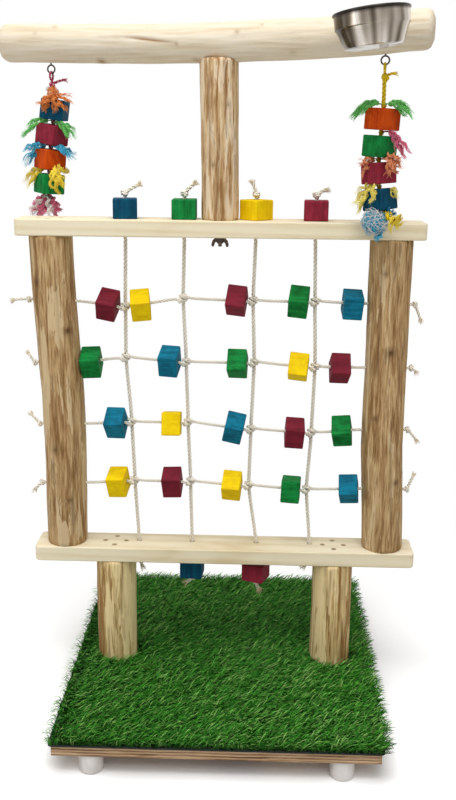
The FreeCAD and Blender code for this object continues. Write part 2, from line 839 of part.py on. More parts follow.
stood_up = Rotation(Vector(0, 1, 0), -90)
top_blocks = (("top_block_blue", 7), ("top_block_green", 0), ("top_block_yellow", 45), ("top_block_maroon", -3))
for rope, (name, turn) in enumerate(top_blocks):
    height = upper_top + size("seat_gap") + size("block_length") / 2
    spin = Rotation(Vector(0, 0, 1), turn) * stood_up
    spins[name] = make_block(name, at(top_x[rope], back_rope_y, height, spin))

bottom_blocks = ((1, "bottom_block_blue", -4), (2, "bottom_block_maroon", -22))
for rope, name, turn in bottom_blocks:
    height = lower_bottom - under_gaps[rope] - size("block_length") / 2
    spin = Rotation(Vector(0, 0, 1), turn) * stood_up
    spins[name] = make_block(name, at(bottom_x[rope], back_rope_y, height, spin))


# ---- post and perch, in the arm's own axes ----
# x runs along the perch to the right, and the whole arm is swivelled about the post's bolt

arm = at(size("upper_plank_shift"), frame_y, 0, Rotation(Vector(0, 0, 1), -size("swivel_angle")))


def on_arm(placement):
    return arm.multiply(placement)


post_bottom = upper_top + size("seat_gap")
post_top = post_bottom + size("post_length")
perch_z = post_top - size("notch_depth") + size("perch_middle_diameter") / 2
post_top_x = -size("post_lean")

bolt_bottom = upper_bottom - 2 * size("seat_gap") - size("washer_thickness") - size("nut_height")
bolt_bottom = bolt_bottom - size("bolt_below_nut")
bolt_length = ("(Sizes.bolt_in_post + Sizes.plank_thickness + 3 * Sizes.seat_gap"
               " + Sizes.washer_thickness + Sizes.nut_height + Sizes.bolt_below_nut)")


def make_post():
    stations = [
        ("0", "Sizes.post_diameter", "0", "0"),
        ("0.2 * Sizes.post_length", "Sizes.post_diameter", "0", "0"),
        ("0.6 * Sizes.post_length", "Sizes.post_diameter - Sizes.post_waist", "-0.5 * Sizes.post_lean", "0"),
        ("Sizes.post_length", "Sizes.post_diameter", "-Sizes.post_lean", "0"),
    ]
    body, loft = log("centre_post", "XY_Plane", stations)
    bolt_sketch = new_sketch(body, "bolt_hole")
    ring(bolt_sketch, "Sizes.bolt_diameter + 2 * Sizes.hole_play")
    bolt_hole = body.newObject("PartDesign::Pocket", "centre_post_bolt_pocket")
    bolt_hole.Profile = bolt_sketch
    bolt_hole.Reversed = True
    bolt_hole.setExpression("Length", "Sizes.bolt_in_post + Sizes.hole_play")
    screw_sketch = new_sketch(body, "screw_hole", lift="Sizes.post_length")
    ring(screw_sketch, "Sizes.perch_screw_diameter + 2 * Sizes.hole_play", "-Sizes.post_lean")
    screw_hole = body.newObject("PartDesign::Pocket", "centre_post_screw_pocket")
    screw_hole.Profile = screw_sketch
    depth = "Sizes.perch_screw_length - Sizes.perch_middle_diameter + Sizes.notch_depth"
    screw_hole.setExpression("Length", f"{depth} + Sizes.head_recess + Sizes.hole_end_room")
    body.Placement = on_arm(at(0, 0, post_bottom))
    keep("centre_post", body)


def make_bolt():
    body = new_body("hanger_bolt")
    sketch = new_sketch(body, "profile", "XZ_Plane")
    radius = "Sizes.bolt_diameter / 2"
    bevel = "Sizes.bolt_chamfer"
    outline(sketch, [("0", "0"), (f"{radius} - {bevel}", "0"), (radius, bevel),
                     (radius, f"{bolt_length} - {bevel}"), (f"{radius} - {bevel}", bolt_length),
                     ("0", bolt_length)])
    revolve(body, sketch)
    body.Placement = on_arm(at(0, 0, bolt_bottom))
    keep("hanger_bolt", body)


def make_washer():
    body = new_body("washer")
    sketch = new_sketch(body, "plan")
    ring(sketch, "Sizes.washer_diameter")
    ring(sketch, "Sizes.bolt_diameter + 2 * Sizes.washer_play")
    pad(body, sketch, "Sizes.washer_thickness")
    height = upper_bottom - size("seat_gap") - size("washer_thickness")
    body.Placement = on_arm(at(0, 0, height))
    keep("washer", body)


nut_top = upper_bottom - 2 * size("seat_gap") - size("washer_thickness")
# a wing's outline, as shares of its reach from the bolt and of its drop
wing_shares = [(0.62, 0.07), (0.88, 0.34), (1, 0.78), (0.93, 1), (0.74, 1), (0.62, 0.62), (0.5, 0.5)]


def make_wing_nut():
    body = new_body("wing_nut")
    hub = new_sketch(body, "hub", "XZ_Plane")
    bore = "Sizes.bolt_diameter / 2 + Sizes.nut_play"
    upper = "Sizes.nut_top_diameter / 2"
    lower = "Sizes.nut_bottom_diameter / 2"
    bottom = "-Sizes.nut_height"
    outline(hub, [(bore, "0"), (bore, bottom), (lower, bottom), (upper, "-Sizes.nut_collar"), (upper, "0")])
    revolve(body, hub)
    wing = new_sketch(body, "wing", "XZ_Plane")
    root = f"{bore} + Sizes.wing_root"
    reach = "Sizes.wing_span / 2"
    drop = "Sizes.wing_drop"
    corners = [(f"{across} * {reach}", f"-{down} * {drop}") for across, down in wing_shares]
    outline(wing, [(root, corners[0][1])] + corners + [(root, corners[-1][1])])
    blade = pad(body, wing, "Sizes.wing_thickness", both_ways=True)
    side = size("wing_span") / 2

    def wing_corner(edge):
        across = isinstance(edge.Curve, Part.Line) and abs(edge.Curve.Direction.y) > 0.9
        return across and edge.CenterOfMass.x > 0.7 * side

    rounded = round_edges(body, blade, "Sizes.wing_edge", wing_corner)
    doc.recompute()
    mirror = body.newObject("PartDesign::Mirrored", "wing_nut_other_wing")
    mirror.Originals = [blade, rounded]
    plane = next(part for part in body.Origin.OriginFeatures if part.Role == "YZ_Plane")
    mirror.MirrorPlane = (plane, [""])
    body.Tip = mirror
    body.Placement = on_arm(at(0, 0, nut_top))
    keep("wing_nut", body)


# share of the reach to that side, and of the rise at that end
perch_shares = [(-0.9, 0.85), (-0.6, 0.25), (-0.3, 0), (0, 0), (0.19, 0.13), (0.47, 0.29), (0.7, 0.55), (0.9, 0.9)]


def make_perch():
    land = "(Sizes.perch_edge + Sizes.perch_end_land)"
    left_end = ("-Sizes.perch_left_reach", "Sizes.perch_left_diameter", "0", "Sizes.perch_left_rise")
    right_start = f"Sizes.perch_right_reach - {land}"
    right_end = (right_start, "Sizes.perch_right_diameter", "0", "Sizes.perch_right_rise")
    stations = [(f"{left_end[0]} + {land}", *left_end[1:])]
    for share, rise in perch_shares:
        side = "left" if share < 0 else "right"
        along = f"{share} * Sizes.perch_{side}_reach"
        taper = f"{abs(share)} * (Sizes.perch_{side}_diameter - Sizes.perch_middle_diameter)"
        thickness = f"Sizes.perch_middle_diameter + {taper}"
        stations.append((along, thickness, "0", f"{rise} * Sizes.perch_{side}_rise"))
    stations.append(right_end)
    body, loft = log("perch_blank", "YZ_Plane", stations)
    for side, (along, diameter, across, up) in (("left", left_end), ("right", right_end)):
        sketch = new_sketch(body, f"{side}_end", "YZ_Plane", along)
        sketch.setExpression(".AttachmentOffset.Base.y", up)
        ring(sketch, diameter)
        end = pad(body, sketch, land)
    ends = (-size("perch_left_reach"), size("perch_right_reach"))

    def sawn_edge(edge):
        flat = edge.BoundBox.XLength < 0.01
        return flat and min(abs(edge.BoundBox.Center.x - end) for end in ends) < 0.01

    rounded = round_edges(body, end, "Sizes.perch_edge", sawn_edge)
    doc.recompute()
    bark = rounded.Shape.copy()
    seat = new_sketch(body, "notch", lift="Sizes.notch_depth - Sizes.perch_middle_diameter / 2")
    ring(seat, "Sizes.post_diameter + 2 * Sizes.notch_play", "-Sizes.post_lean")
    pocket(body, seat)
    body.Placement = on_arm(at(0, 0, perch_z))
    doc.recompute()
    return body, bark


def make_eye_pattern():
    # a screw eye whose shank points up, with the ring's middle at the origin
    radius = size("eye_radius")
    wire = size("eye_wire") / 2
    eye = Part.makeTorus(radius, wire, Vector(0, 0, 0), Vector(0, 1, 0))
    length = size("eye_neck") + size("eye_shank") + wire
    shank = Part.makeCylinder(wire, length, Vector(0, 0, radius), Vector(0, 0, 1))
    hole_start = Vector(0, 0, radius)
    play = size("hole_play")
    hole = Part.makeCylinder(wire + play, length + play, hole_start, Vector(0, 0, 1))
    return eye.fuse(shank), hole


def bowl_screw_place(bark):
    # the bowl's screw goes in above the perch's axis, and the wall touches where the perch is widest
    place = size("bowl_place")
    up = Vector(0, 0, 1)
    low, high = inside_ends(bark, Vector(place, 0, 0), up)
    middle = (low.z + high.z) / 2
    front, back = inside_ends(bark, Vector(place, 0, middle), Vector(0, 1, 0))
    return Vector(place, front.y, middle + size("bowl_screw_rise") + perch_z)


make_post()
make_bolt()
make_washer()
make_wing_nut()
perch_blank, perch_bark = make_perch()

screw_z = perch_z + size("perch_middle_diameter") / 2 - size("head_recess")
perch_screw = countersunk_screw("perch_screw", "perch_screw", "")
perch_screw.Placement = on_arm(at(post_top_x, 0, screw_z))
keep("perch_screw", perch_screw)
perch_screw_cutter = countersunk_screw("perch_screw_hole", "perch_screw", "Sizes.hole_play")
doc.recompute()

eye_shape, eye_hole = make_eye_pattern()
eye_places = {}
for side, x in (("left", -size("left_eye_place")), ("right", size("right_eye_place"))):
    low, high = inside_ends(perch_bark, Vector(x, 0, 0), Vector(0, 0, 1))
    drop = size("eye_neck") + size("eye_wire") / 2 + size("eye_radius")
    eye_places[side] = at(x, 0, low.z + perch_z - drop)
arm_eyes = [on_arm(place) for place in eye_places.values()]
keep("screw_eyes", shaped("screw_eyes", copies(eye_shape, arm_eyes)))

bowl_fix = bowl_screw_place(perch_bark)
bowl_screw = pan_head_screw("bowl_screw", "bowl_screw", "")
bowl_screw_cutter = pan_head_screw("bowl_screw_hole", "bowl_screw", "Sizes.hole_play")
lying = Rotation(Vector(1, 0, 0), -90)          # a screw's shank now points backwards
under_head = bowl_fix.y - size("bowl_gap") - size("bowl_sheet") - size("bowl_head_gap")
bowl_screw.Placement = on_arm(at(bowl_fix.x, under_head, bowl_fix.z, lying))
keep("bowl_screw", bowl_screw)
doc.recompute()

perch_holes = [perch_screw_cutter.Shape.copy(), bowl_screw_cutter.Shape.copy()]
perch_holes[0].Placement = perch_screw.Placement
perch_holes[1].Placement = bowl_screw.Placement
for place in arm_eyes:
    hole = eye_hole.copy()
    hole.Placement = place
    perch_holes.append(hole)
cut("perch", perch_blank, shaped("perch_holes", Part.makeCompound(perch_holes)))


# ---- bowl ----

def make_bowl():
    body = new_body("bowl")
    wall = new_sketch(body, "wall", "XZ_Plane")
    outer = "Sizes.bowl_wall_radius"
    foot = "Sizes.bowl_base_radius"
    sheet_metal = "Sizes.bowl_sheet"
    shoulder = "Sizes.bowl_shoulder"
    top = "Sizes.bowl_height - Sizes.bowl_bead / 2"
    step = "Sizes.bowl_step"
    step_top = f"{shoulder} + Sizes.bowl_step_height"
    bevel = "Sizes.bowl_foot_bevel"
    lift = "Sizes.bowl_foot_lift"
    half = f"{sheet_metal} / 2"
    outside = [("0", "0"), (f"{foot} - {bevel}", "0"), (foot, lift), (f"{outer} - {step}", shoulder),
               (outer, step_top), (outer, top)]
    inside = [(f"{outer} - {sheet_metal}", top), (f"{outer} - {sheet_metal}", f"{step_top} + {half}"),
              (f"{outer} - {step} - {sheet_metal}", f"{shoulder} + {half}"),
              (f"{foot} - {sheet_metal}", f"{lift} + {half}"), (f"{foot} - {bevel} - {half}", sheet_metal),
              ("0", sheet_metal)]
    outline(wall, outside + inside)
    revolve(body, wall)
    rim = new_sketch(body, "rim", "XZ_Plane")
    ring(rim, "Sizes.bowl_bead", outer, top)
    revolve(body, rim)
    doc.recompute()
    whole = body.Shape.Volume
    hole = new_sketch(body, "screw_hole", "XZ_Plane")
    ring(hole, "Sizes.bowl_screw_diameter + 2 * Sizes.bowl_screw_play", "0", "Sizes.bowl_screw_up")
    pocket(body, hole)
    doc.recompute()
    if body.Shape.Volume >= whole:
        raise ValueError("the bowl's screw hole cut nothing")
    axis_y = bowl_fix.y - size("bowl_gap") - size("bowl_wall_radius")
    tilt = Placement(Vector(bowl_fix.x, 0, bowl_fix.z), Rotation(Vector(0, 1, 0), -size("bowl_tilt")))
    body.Placement = on_arm(tilt.multiply(at(0, axis_y, -size("bowl_screw_up"))))
    keep("bowl", body)


make_bowl()


# ---- toys ----
# Each hangs from its eye by a loop, and swings fore and aft at the eye and sideways at the knot under the loop

toys = {
    "left": {
        "first_run": (6.5, size("left_first_drop")),
        "leans": (9, 8.5, 6, 4),
        "colours": ("blue", "maroon", "orange", "green"),
        "turns": (8, -18, -38, -42),
        "tail": (22, -2),
        "end_tail": size("left_end_tail"),
    },
    "right": {
        "first_run": (1, size("right_first_drop")),
        "leans": (3, 3, -4, -6),
        "colours": ("orange", "green", "maroon", "blue"),
        "turns": (-38, -28, -42, -34),
        "tail": (15, 6),
        "end_tail": size("right_end_tail"),
    },
}
toy_pitch = size("block_length") + 2 * seat_depth(size("toy_knot"))


def toy_points(toy, eye):
    # the cord's knots, from the one under the loop to the end knot
    eye_bottom = eye.Base.z - size("eye_radius")
    loop_clear = size("eye_wire") / 2 + size("loop_wire") / 2 + size("knot_gap")
    loop_middle = eye_bottom + loop_clear - size("loop_radius")
    loop_bottom = loop_middle - size("loop_radius") - size("loop_wire") / 2
    points = [Vector(eye.Base.x, 0, loop_bottom - size("knot_gap") - size("toy_knot") / 2)]
    across, drop = toy["first_run"]
    points.append(points[0] + Vector(across, 0, -drop))
    for lean in toy["leans"]:
        angle = math.radians(lean)
        points.append(points[-1] + Vector(-math.sin(angle), 0, -math.cos(angle)) * toy_pitch)
    return loop_middle, points


def make_toy(side):
    toy = toys[side]
    loop_middle, points = toy_points(toy, eye_places[side])
    loop_place = Vector(points[0].x, 0, loop_middle)
    loop_ring = Part.makeTorus(size("loop_radius"), size("loop_wire") / 2, loop_place, Vector(1, 0, 0))
    keep(f"{side}_toy_loop", shaped(f"{side}_toy_loop", loop_ring, arm))
    cord_end = points[-1] - Vector(0, 0, size("toy_knot") / 2 + toy["end_tail"])
    cord = tube(f"{side} toy cord", points + [cord_end], size("toy_cord"), size("toy_cord_bend"))
    knots = [Part.makeSphere(size("toy_knot") / 2, point) for point in points]
    stub = tail(points[0], *toy["tail"], size("toy_cord"))
    keep(f"{side}_toy_cord", shaped(f"{side}_toy_cord", joined([cord, stub] + knots), arm))
    for number, colour in enumerate(toy["colours"]):
        above = points[number + 1]
        below = points[number + 2]
        upwards = above - below
        turned = Rotation(Vector(0, 0, 1), toy["turns"][number])
        way = Rotation(Vector(0, 0, 1), upwards) * turned * stood_up
        name = f"{side}_toy_block{number + 1}_{colour}"
        spins[name] = make_block(name, on_arm(Placement((above + below) / 2, way)))
    return points[0]


toy_knots = {side: make_toy(side) for side in toys}


# ---- check and write ----

doc.recompute()
for thing in doc.Objects:
    faults = {"Invalid", "Error"}.intersection(thing.State)
    if faults:
        raise ValueError(f"{thing.Name} is {faults}")
os.makedirs("parts", exist_ok=True)
for name, thing in nodes.items():
    shape = thing.Shape
    if shape.isNull() or not shape.isValid() or not shape.Solids:
        raise ValueError(f"{name} has no valid solid")
for name, thing in nodes.items():
    thing.Shape.exportStep(f"parts/{name}.step")
print(f"{len(nodes)} nodes, {sum(len(thing.Shape.Solids) for thing in nodes.values())} solids")
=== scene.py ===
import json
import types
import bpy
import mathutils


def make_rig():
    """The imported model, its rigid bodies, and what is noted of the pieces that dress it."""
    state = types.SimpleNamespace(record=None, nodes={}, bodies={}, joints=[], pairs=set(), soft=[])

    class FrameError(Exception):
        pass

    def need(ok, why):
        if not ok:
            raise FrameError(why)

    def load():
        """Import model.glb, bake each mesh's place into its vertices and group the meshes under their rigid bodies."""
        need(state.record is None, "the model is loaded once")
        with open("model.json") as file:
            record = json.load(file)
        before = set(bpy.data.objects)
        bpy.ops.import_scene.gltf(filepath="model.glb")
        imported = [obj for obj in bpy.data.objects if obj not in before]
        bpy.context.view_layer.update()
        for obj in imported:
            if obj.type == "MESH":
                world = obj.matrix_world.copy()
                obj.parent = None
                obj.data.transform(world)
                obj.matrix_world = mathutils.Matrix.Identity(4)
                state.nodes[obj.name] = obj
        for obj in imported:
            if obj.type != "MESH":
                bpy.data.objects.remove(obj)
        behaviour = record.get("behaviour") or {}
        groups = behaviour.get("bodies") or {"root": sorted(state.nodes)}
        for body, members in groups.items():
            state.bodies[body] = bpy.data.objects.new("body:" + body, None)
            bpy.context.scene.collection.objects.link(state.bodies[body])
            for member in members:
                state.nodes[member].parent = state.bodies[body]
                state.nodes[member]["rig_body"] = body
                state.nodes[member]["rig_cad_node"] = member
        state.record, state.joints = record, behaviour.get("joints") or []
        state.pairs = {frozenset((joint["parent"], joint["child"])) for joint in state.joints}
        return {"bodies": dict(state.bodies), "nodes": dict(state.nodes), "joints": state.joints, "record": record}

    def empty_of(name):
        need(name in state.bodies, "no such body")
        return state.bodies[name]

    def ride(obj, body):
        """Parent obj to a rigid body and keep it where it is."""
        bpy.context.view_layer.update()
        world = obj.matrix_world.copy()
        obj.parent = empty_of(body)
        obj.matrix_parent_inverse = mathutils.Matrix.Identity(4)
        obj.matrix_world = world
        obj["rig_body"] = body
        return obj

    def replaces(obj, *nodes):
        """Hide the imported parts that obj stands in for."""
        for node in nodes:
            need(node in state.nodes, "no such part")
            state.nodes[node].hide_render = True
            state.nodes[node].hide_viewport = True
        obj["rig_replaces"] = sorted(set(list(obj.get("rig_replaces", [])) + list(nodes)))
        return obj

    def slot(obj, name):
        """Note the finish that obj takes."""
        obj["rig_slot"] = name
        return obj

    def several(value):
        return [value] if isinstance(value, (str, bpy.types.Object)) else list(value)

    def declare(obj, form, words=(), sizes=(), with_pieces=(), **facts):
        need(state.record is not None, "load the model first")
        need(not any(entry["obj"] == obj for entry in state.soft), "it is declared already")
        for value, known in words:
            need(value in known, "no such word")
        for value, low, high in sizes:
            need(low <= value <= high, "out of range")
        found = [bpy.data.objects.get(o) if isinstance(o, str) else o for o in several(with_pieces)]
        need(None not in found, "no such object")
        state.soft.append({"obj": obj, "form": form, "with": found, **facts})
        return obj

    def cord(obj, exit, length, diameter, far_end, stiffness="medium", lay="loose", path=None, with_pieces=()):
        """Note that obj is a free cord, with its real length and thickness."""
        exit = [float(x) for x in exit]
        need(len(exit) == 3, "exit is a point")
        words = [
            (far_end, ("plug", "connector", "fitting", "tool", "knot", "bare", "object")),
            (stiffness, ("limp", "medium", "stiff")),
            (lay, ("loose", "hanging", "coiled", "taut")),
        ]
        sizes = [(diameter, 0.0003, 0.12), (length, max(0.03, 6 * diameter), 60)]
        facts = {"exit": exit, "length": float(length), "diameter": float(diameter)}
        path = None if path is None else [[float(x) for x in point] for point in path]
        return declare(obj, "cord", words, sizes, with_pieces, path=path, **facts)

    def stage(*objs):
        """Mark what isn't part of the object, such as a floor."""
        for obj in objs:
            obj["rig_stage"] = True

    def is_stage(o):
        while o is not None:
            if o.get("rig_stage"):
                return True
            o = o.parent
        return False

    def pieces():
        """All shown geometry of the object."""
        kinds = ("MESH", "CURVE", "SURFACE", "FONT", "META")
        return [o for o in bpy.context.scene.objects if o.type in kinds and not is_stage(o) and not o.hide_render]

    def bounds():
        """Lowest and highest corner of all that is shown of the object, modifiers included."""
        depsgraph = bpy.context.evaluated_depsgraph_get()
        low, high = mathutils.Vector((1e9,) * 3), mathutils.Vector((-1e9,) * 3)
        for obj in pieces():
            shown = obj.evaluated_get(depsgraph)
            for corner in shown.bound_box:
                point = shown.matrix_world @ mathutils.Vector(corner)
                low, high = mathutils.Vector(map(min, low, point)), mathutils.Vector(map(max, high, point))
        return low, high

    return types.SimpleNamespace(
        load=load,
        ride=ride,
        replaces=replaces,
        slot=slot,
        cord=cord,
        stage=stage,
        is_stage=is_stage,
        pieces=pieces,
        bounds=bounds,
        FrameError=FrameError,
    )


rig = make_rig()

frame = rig.load()

import json
import math
import random

import bmesh
import bpy
from mathutils import Matrix, Vector, noise

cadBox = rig.bounds()
print("frame loaded")


def mm(x, y, z):
    return Vector((x, y, z)) / 1000


def tone(red, green, blue):                     # screen colour, 0 to 255, to linear
    return tuple(((c / 255 + 0.055) / 1.055) ** 2.4 if c > 10 else c / 3295 for c in (red, green, blue))


def linked(name, data):
    made = bpy.data.objects.new(name, data)
    bpy.context.collection.objects.link(made)
    return made


# the perch, its bowl and the toys are laid out along the perch, which is turned about the post
armPlace = {"post": mm(8.6, -16, 0), "turn": math.radians(-12)}
armMatrix = Matrix.Translation(armPlace["post"]) @ Matrix.Rotation(armPlace["turn"], 4, "Z")


def onArm(along, depth, height):
    return armMatrix @ mm(along, depth, height)


photoCamera = {"place": mm(66.933, -1562.59, 941.559), "turn": 0.028, "dip": 0.263, "roll": 0.010,
               "lens": 43.773, "sensor": 36, "farthest": 30}


def placeCamera(look):
    cosTurn, sinTurn = math.cos(look["turn"]), math.sin(look["turn"])
    cosDip, sinDip = math.cos(look["dip"]), math.sin(look["dip"])
    right = Vector((cosTurn, sinTurn, 0))
    level = Vector((-sinTurn, cosTurn, 0))
    ahead = level * cosDip - Vector((0, 0, sinDip))
    up = level * sinDip + Vector((0, 0, cosDip))
    cosRoll, sinRoll = math.cos(look["roll"]), math.sin(look["roll"])
    axes = (cosRoll * right + sinRoll * up, cosRoll * up - sinRoll * right, -ahead)
    data = bpy.data.cameras.new("photoCamera")
    data.lens = look["lens"]
    data.sensor_width = look["sensor"]
    data.clip_end = look["farthest"]
    camera = linked("photoCamera", data)
    turned = Matrix([axis.to_tuple() for axis in axes]).transposed().to_4x4()
    camera.matrix_world = Matrix.Translation(look["place"]) @ turned
    bpy.context.scene.camera = camera


placeCamera(photoCamera)
bpy.context.scene.view_settings.view_transform = "Standard"
print("camera placed")


# shader and geometry nodes, written as sums
class Wire:                                     # a socket that can stand in a sum
    def __init__(self, graph, socket):
        self.graph = graph
        self.socket = socket

    def other(self, name):
        return Wire(self.graph, self.socket.node.outputs[name])

    def math(self, operation, first, second=0.0):
        return self.graph.node("ShaderNodeMath", {"operation": operation}, {0: first, 1: second})

    def sine(self):
        return self.math("SINE", self)

    def held(self):                             # kept between 0 and 1
        return self.math("MINIMUM", self.math("MAXIMUM", self, 0.0), 1.0)


def addSign(sign, operation):
    setattr(Wire, f"__{sign}__", lambda self, other: self.math(operation, self, other))
    setattr(Wire, f"__r{sign}__", lambda self, other: self.math(operation, other, self))


signs = {"add": "ADD", "sub": "SUBTRACT", "mul": "MULTIPLY", "truediv": "DIVIDE", "pow": "POWER"}
for sign, operation in signs.items():
    addSign(sign, operation)


class Graph:
    def __init__(self, tree):
        self.tree = tree

    def node(self, kind, settings=None, sockets=None, output=0):
        made = self.tree.nodes.new(kind)
        for name, value in (settings or {}).items():
            if name == "stops":
                ramp = made.color_ramp
                while len(ramp.elements) < len(value):
                    ramp.elements.new(1)
                for stop, (place, colour) in zip(ramp.elements, value):
                    stop.position = place
                    stop.color = (*colour, 1)
            else:
                setattr(made, name, value)
        for name, value in (sockets or {}).items():
            if isinstance(value, Wire):
                self.tree.links.new(value.socket, made.inputs[name])
            else:
                made.inputs[name].default_value = value
        return Wire(self, made.outputs[output])

    def mix(self, share, first, second):
        colours = [c if isinstance(c, Wire) else (*c, 1) for c in (first, second)]
        return self.node("ShaderNodeMix", {"data_type": "RGBA"},
                         {0: share, 6: colours[0], 7: colours[1]}, 2)

    def attribute(self, name):
        return self.node("ShaderNodeAttribute", {"attribute_name": name}, {}, "Fac")

    def apart(self, vector, output):
        return self.node("ShaderNodeSeparateXYZ", {}, {"Vector": vector}, output)

    def ramp(self, share, *stops):
        return self.node("ShaderNodeValToRGB", {"stops": stops}, {"Fac": share})

    def step(self, value, low, high):           # 0 below low, 1 above high
        return self.node("ShaderNodeMapRange", {"interpolation_type": "SMOOTHSTEP"},
                         {"Value": value, "From Min": low, "From Max": high})


class Finish(Graph):
    def __init__(self, name):
        self.material = bpy.data.materials.new(name)
        self.material.use_nodes = True
        super().__init__(self.material.node_tree)
        self.tree.nodes.clear()
        self.coords = self.node("ShaderNodeTexCoord", output="Object")

    def place(self, scale=(1, 1, 1), turn=(0, 0, 0), shift=(0, 0, 0)):
        where = self.coords
        if turn != (0, 0, 0):                   # turned first, then stretched
            where = self.node("ShaderNodeMapping", {}, {"Vector": where, "Rotation": turn})
        return self.node("ShaderNodeMapping", {}, {"Vector": where, "Scale": scale, "Location": shift})

    def grain(self, stretch, detail=3, rough=0.55, twist=0.0, turn=(0, 0, 0), shift=(0, 0, 0)):
        return self.node("ShaderNodeTexNoise", {}, {
            "Vector": self.place(stretch, turn, shift), "Scale": 1.0, "Detail": detail, "Roughness": rough,
            "Distortion": twist}, "Fac")

    def done(self, sockets, relief=None, strength=0.3, depth=0.001):
        if relief is not None:
            sockets["Normal"] = self.node("ShaderNodeBump", {}, {
                "Height": relief, "Strength": strength, "Distance": depth}, "Normal")
        return self.finishWith(self.node("ShaderNodeBsdfPrincipled", {}, sockets))

    def finishWith(self, shader):
        output = self.tree.nodes.new("ShaderNodeOutputMaterial")
        self.tree.links.new(shader.socket, output.inputs["Surface"])
        return self.material


# finishes
def peeledLog(name, look):
    made = Finish(name)
    dark, middle, light, pale, scar, patch = (tone(*colour) for colour in look["tones"])
    turn = look.get("turn", (0, 0, 0))
    long, across = look["grain"]
    stretch = {"z": (across, across, long), "x": (long, across, across)}[look["axis"]]
    fine = made.grain(stretch, 5, 0.66, 0.4, turn)
    broad = made.grain(tuple(s * 0.45 for s in stretch), 4, 0.6, 0.9, turn, (3, 5, 7))
    hair = made.grain(tuple(s * 3.1 for s in stretch), 2, 0.5, 0.0, turn, (1, 2, 3))
    blotch = made.grain((9, 9, 9), 4, 0.6, 0.0, turn, (look["seed"], 1, 2))
    share = 0.55 * fine + 0.15 * broad + 0.30 * hair
    base = made.ramp(share, (0.40, dark), (0.47, middle), (0.53, light), (0.60, pale))
    peel = made.step(broad * 0.75 + blotch * 0.25, *look["patch"][:2])
    base = made.mix(peel * look["patch"][2], base, patch)
    under = made.step(broad * 0.7 + fine * 0.3, 0.455, 0.425)
    base = made.mix(under * look["under"], base, dark)
    wound = made.step(blotch * 0.35 + fine * 0.65, 0.56, 0.60)
    base = made.mix(wound * look["wound"], base, scar)
    # knot scars, and painted shade along the drying cracks
    worn = made.attribute("worn")
    base = made.mix((worn * (0.6 + fine * 0.8)).held(), base, scar)
    relief = 0.5 * fine + 0.35 * hair + 0.6 * broad
    return made.done({"Base Color": base, "Roughness": 0.72 + 0.12 * fine, "Specular IOR Level": 0.25},
                     relief, look["relief"], 0.0025)


# each log's tones are dark, middle, light, pale, scar and patch; scar also colours the painted shade in the drying
# cracks
# patch is from, to and share of the peeled patches, grain is along and across
logTones = {
    "bark": {"tones": ((130, 96, 56), (166, 131, 88), (186, 154, 109), (206, 176, 132), (78, 48, 26),
                       (214, 190, 150)),
             "patch": (0.535, 0.55, 0.75), "under": 0.4, "wound": 0.5, "relief": 0.5, "grain": (11, 130),
             "axis": "z", "seed": 4},
    "leg": {"tones": ((144, 101, 50), (192, 160, 107), (215, 187, 134), (236, 211, 160), (116, 74, 34),
                      (244, 220, 168)),
            "patch": (0.51, 0.53, 0.8), "under": 0.75, "wound": 0.35, "relief": 0.4, "grain": (7, 110),
            "axis": "z", "seed": 9},
    "post": {"tones": ((144, 104, 60), (188, 152, 108), (212, 183, 142), (232, 212, 180), (104, 68, 36),
                       (236, 216, 186)),
             "patch": (0.52, 0.54, 0.75), "under": 0.5, "wound": 0.45, "relief": 0.5, "grain": (10, 140),
             "axis": "z", "seed": 15},
    "perch": {"tones": ((212, 195, 166), (222, 208, 183), (226, 214, 192), (229, 219, 200), (150, 108, 62),
                        (208, 188, 152)),
              "patch": (0.60, 0.64, 0.35), "under": 0.12, "wound": 0.12, "relief": 0.22, "grain": (6, 75),
              "axis": "x", "seed": 21, "turn": (0, 0, -armPlace["turn"])},
}


def planedPine(name, look):
    made = Finish(name)
    bent = made.grain((2.2, 5, 5), 2, 0.5)
    rings = made.place((1.0, 30, 46), shift=(look["seed"], 0, 0))
    bands = made.node("ShaderNodeTexWave", {"wave_type": "BANDS", "bands_direction": "DIAGONAL"}, {
        "Vector": rings, "Scale": 0.8, "Distortion": 9.0, "Detail": 3.0, "Detail Scale": 0.4}, "Fac")
    fibre = made.grain((12, 420, 420), 3, 0.6)
    cloud = made.grain((5, 14, 14), 3, 0.5, shift=(look["seed"], 3, 1))
    share = (0.26 * bands + 0.34 * fibre + 0.45 * cloud).held()
    base = made.ramp(share, (0.16, look["pale"]), (0.5, look["middle"]), (0.86, look["dark"]))
    stain = made.step(cloud + 0.25 * bent, 0.66, 0.82)
    base = made.mix(stain * 0.5, base, look["stain"])
    return made.done({"Base Color": base, "Roughness": 0.62 + 0.1 * fibre, "Specular IOR Level": 0.3},
                     0.6 * fibre + 0.5 * bands, 0.22, 0.0012)


pineTones = {
    "pale": tone(242, 232, 206), "middle": tone(236, 223, 192), "dark": tone(218, 200, 160),
    "stain": tone(204, 178, 132), "seed": 2,
}


board = {"bottom": 35, "thickness": 18, "plies": 7}


def layeredPlywood(name):
    made = Finish(name)
    wander = made.grain((9, 9, 30), 3, 0.6)
    height = made.apart(made.coords, "Z")
    level = (height * 1000 - board["bottom"]) / board["thickness"] * board["plies"]
    plies = (level * math.pi + wander * 7).sine() * 0.5 + 0.5
    grain = made.grain((14, 14, 620), 5, 0.7)
    burn = made.grain((13, 13, 190), 4, 0.7, 0.6, shift=(1, 4, 2))
    share = (0.16 * plies + 0.42 * grain + 0.52 * burn).held()
    base = made.ramp(share, (0.40, tone(92, 60, 38)), (0.5, tone(156, 121, 90)), (0.60, tone(198, 166, 130)),
                     (0.74, tone(224, 196, 160)))
    return made.done({"Base Color": base, "Roughness": 0.75, "Specular IOR Level": 0.2},
                     0.5 * plies + 0.5 * grain, 0.5, 0.0012)


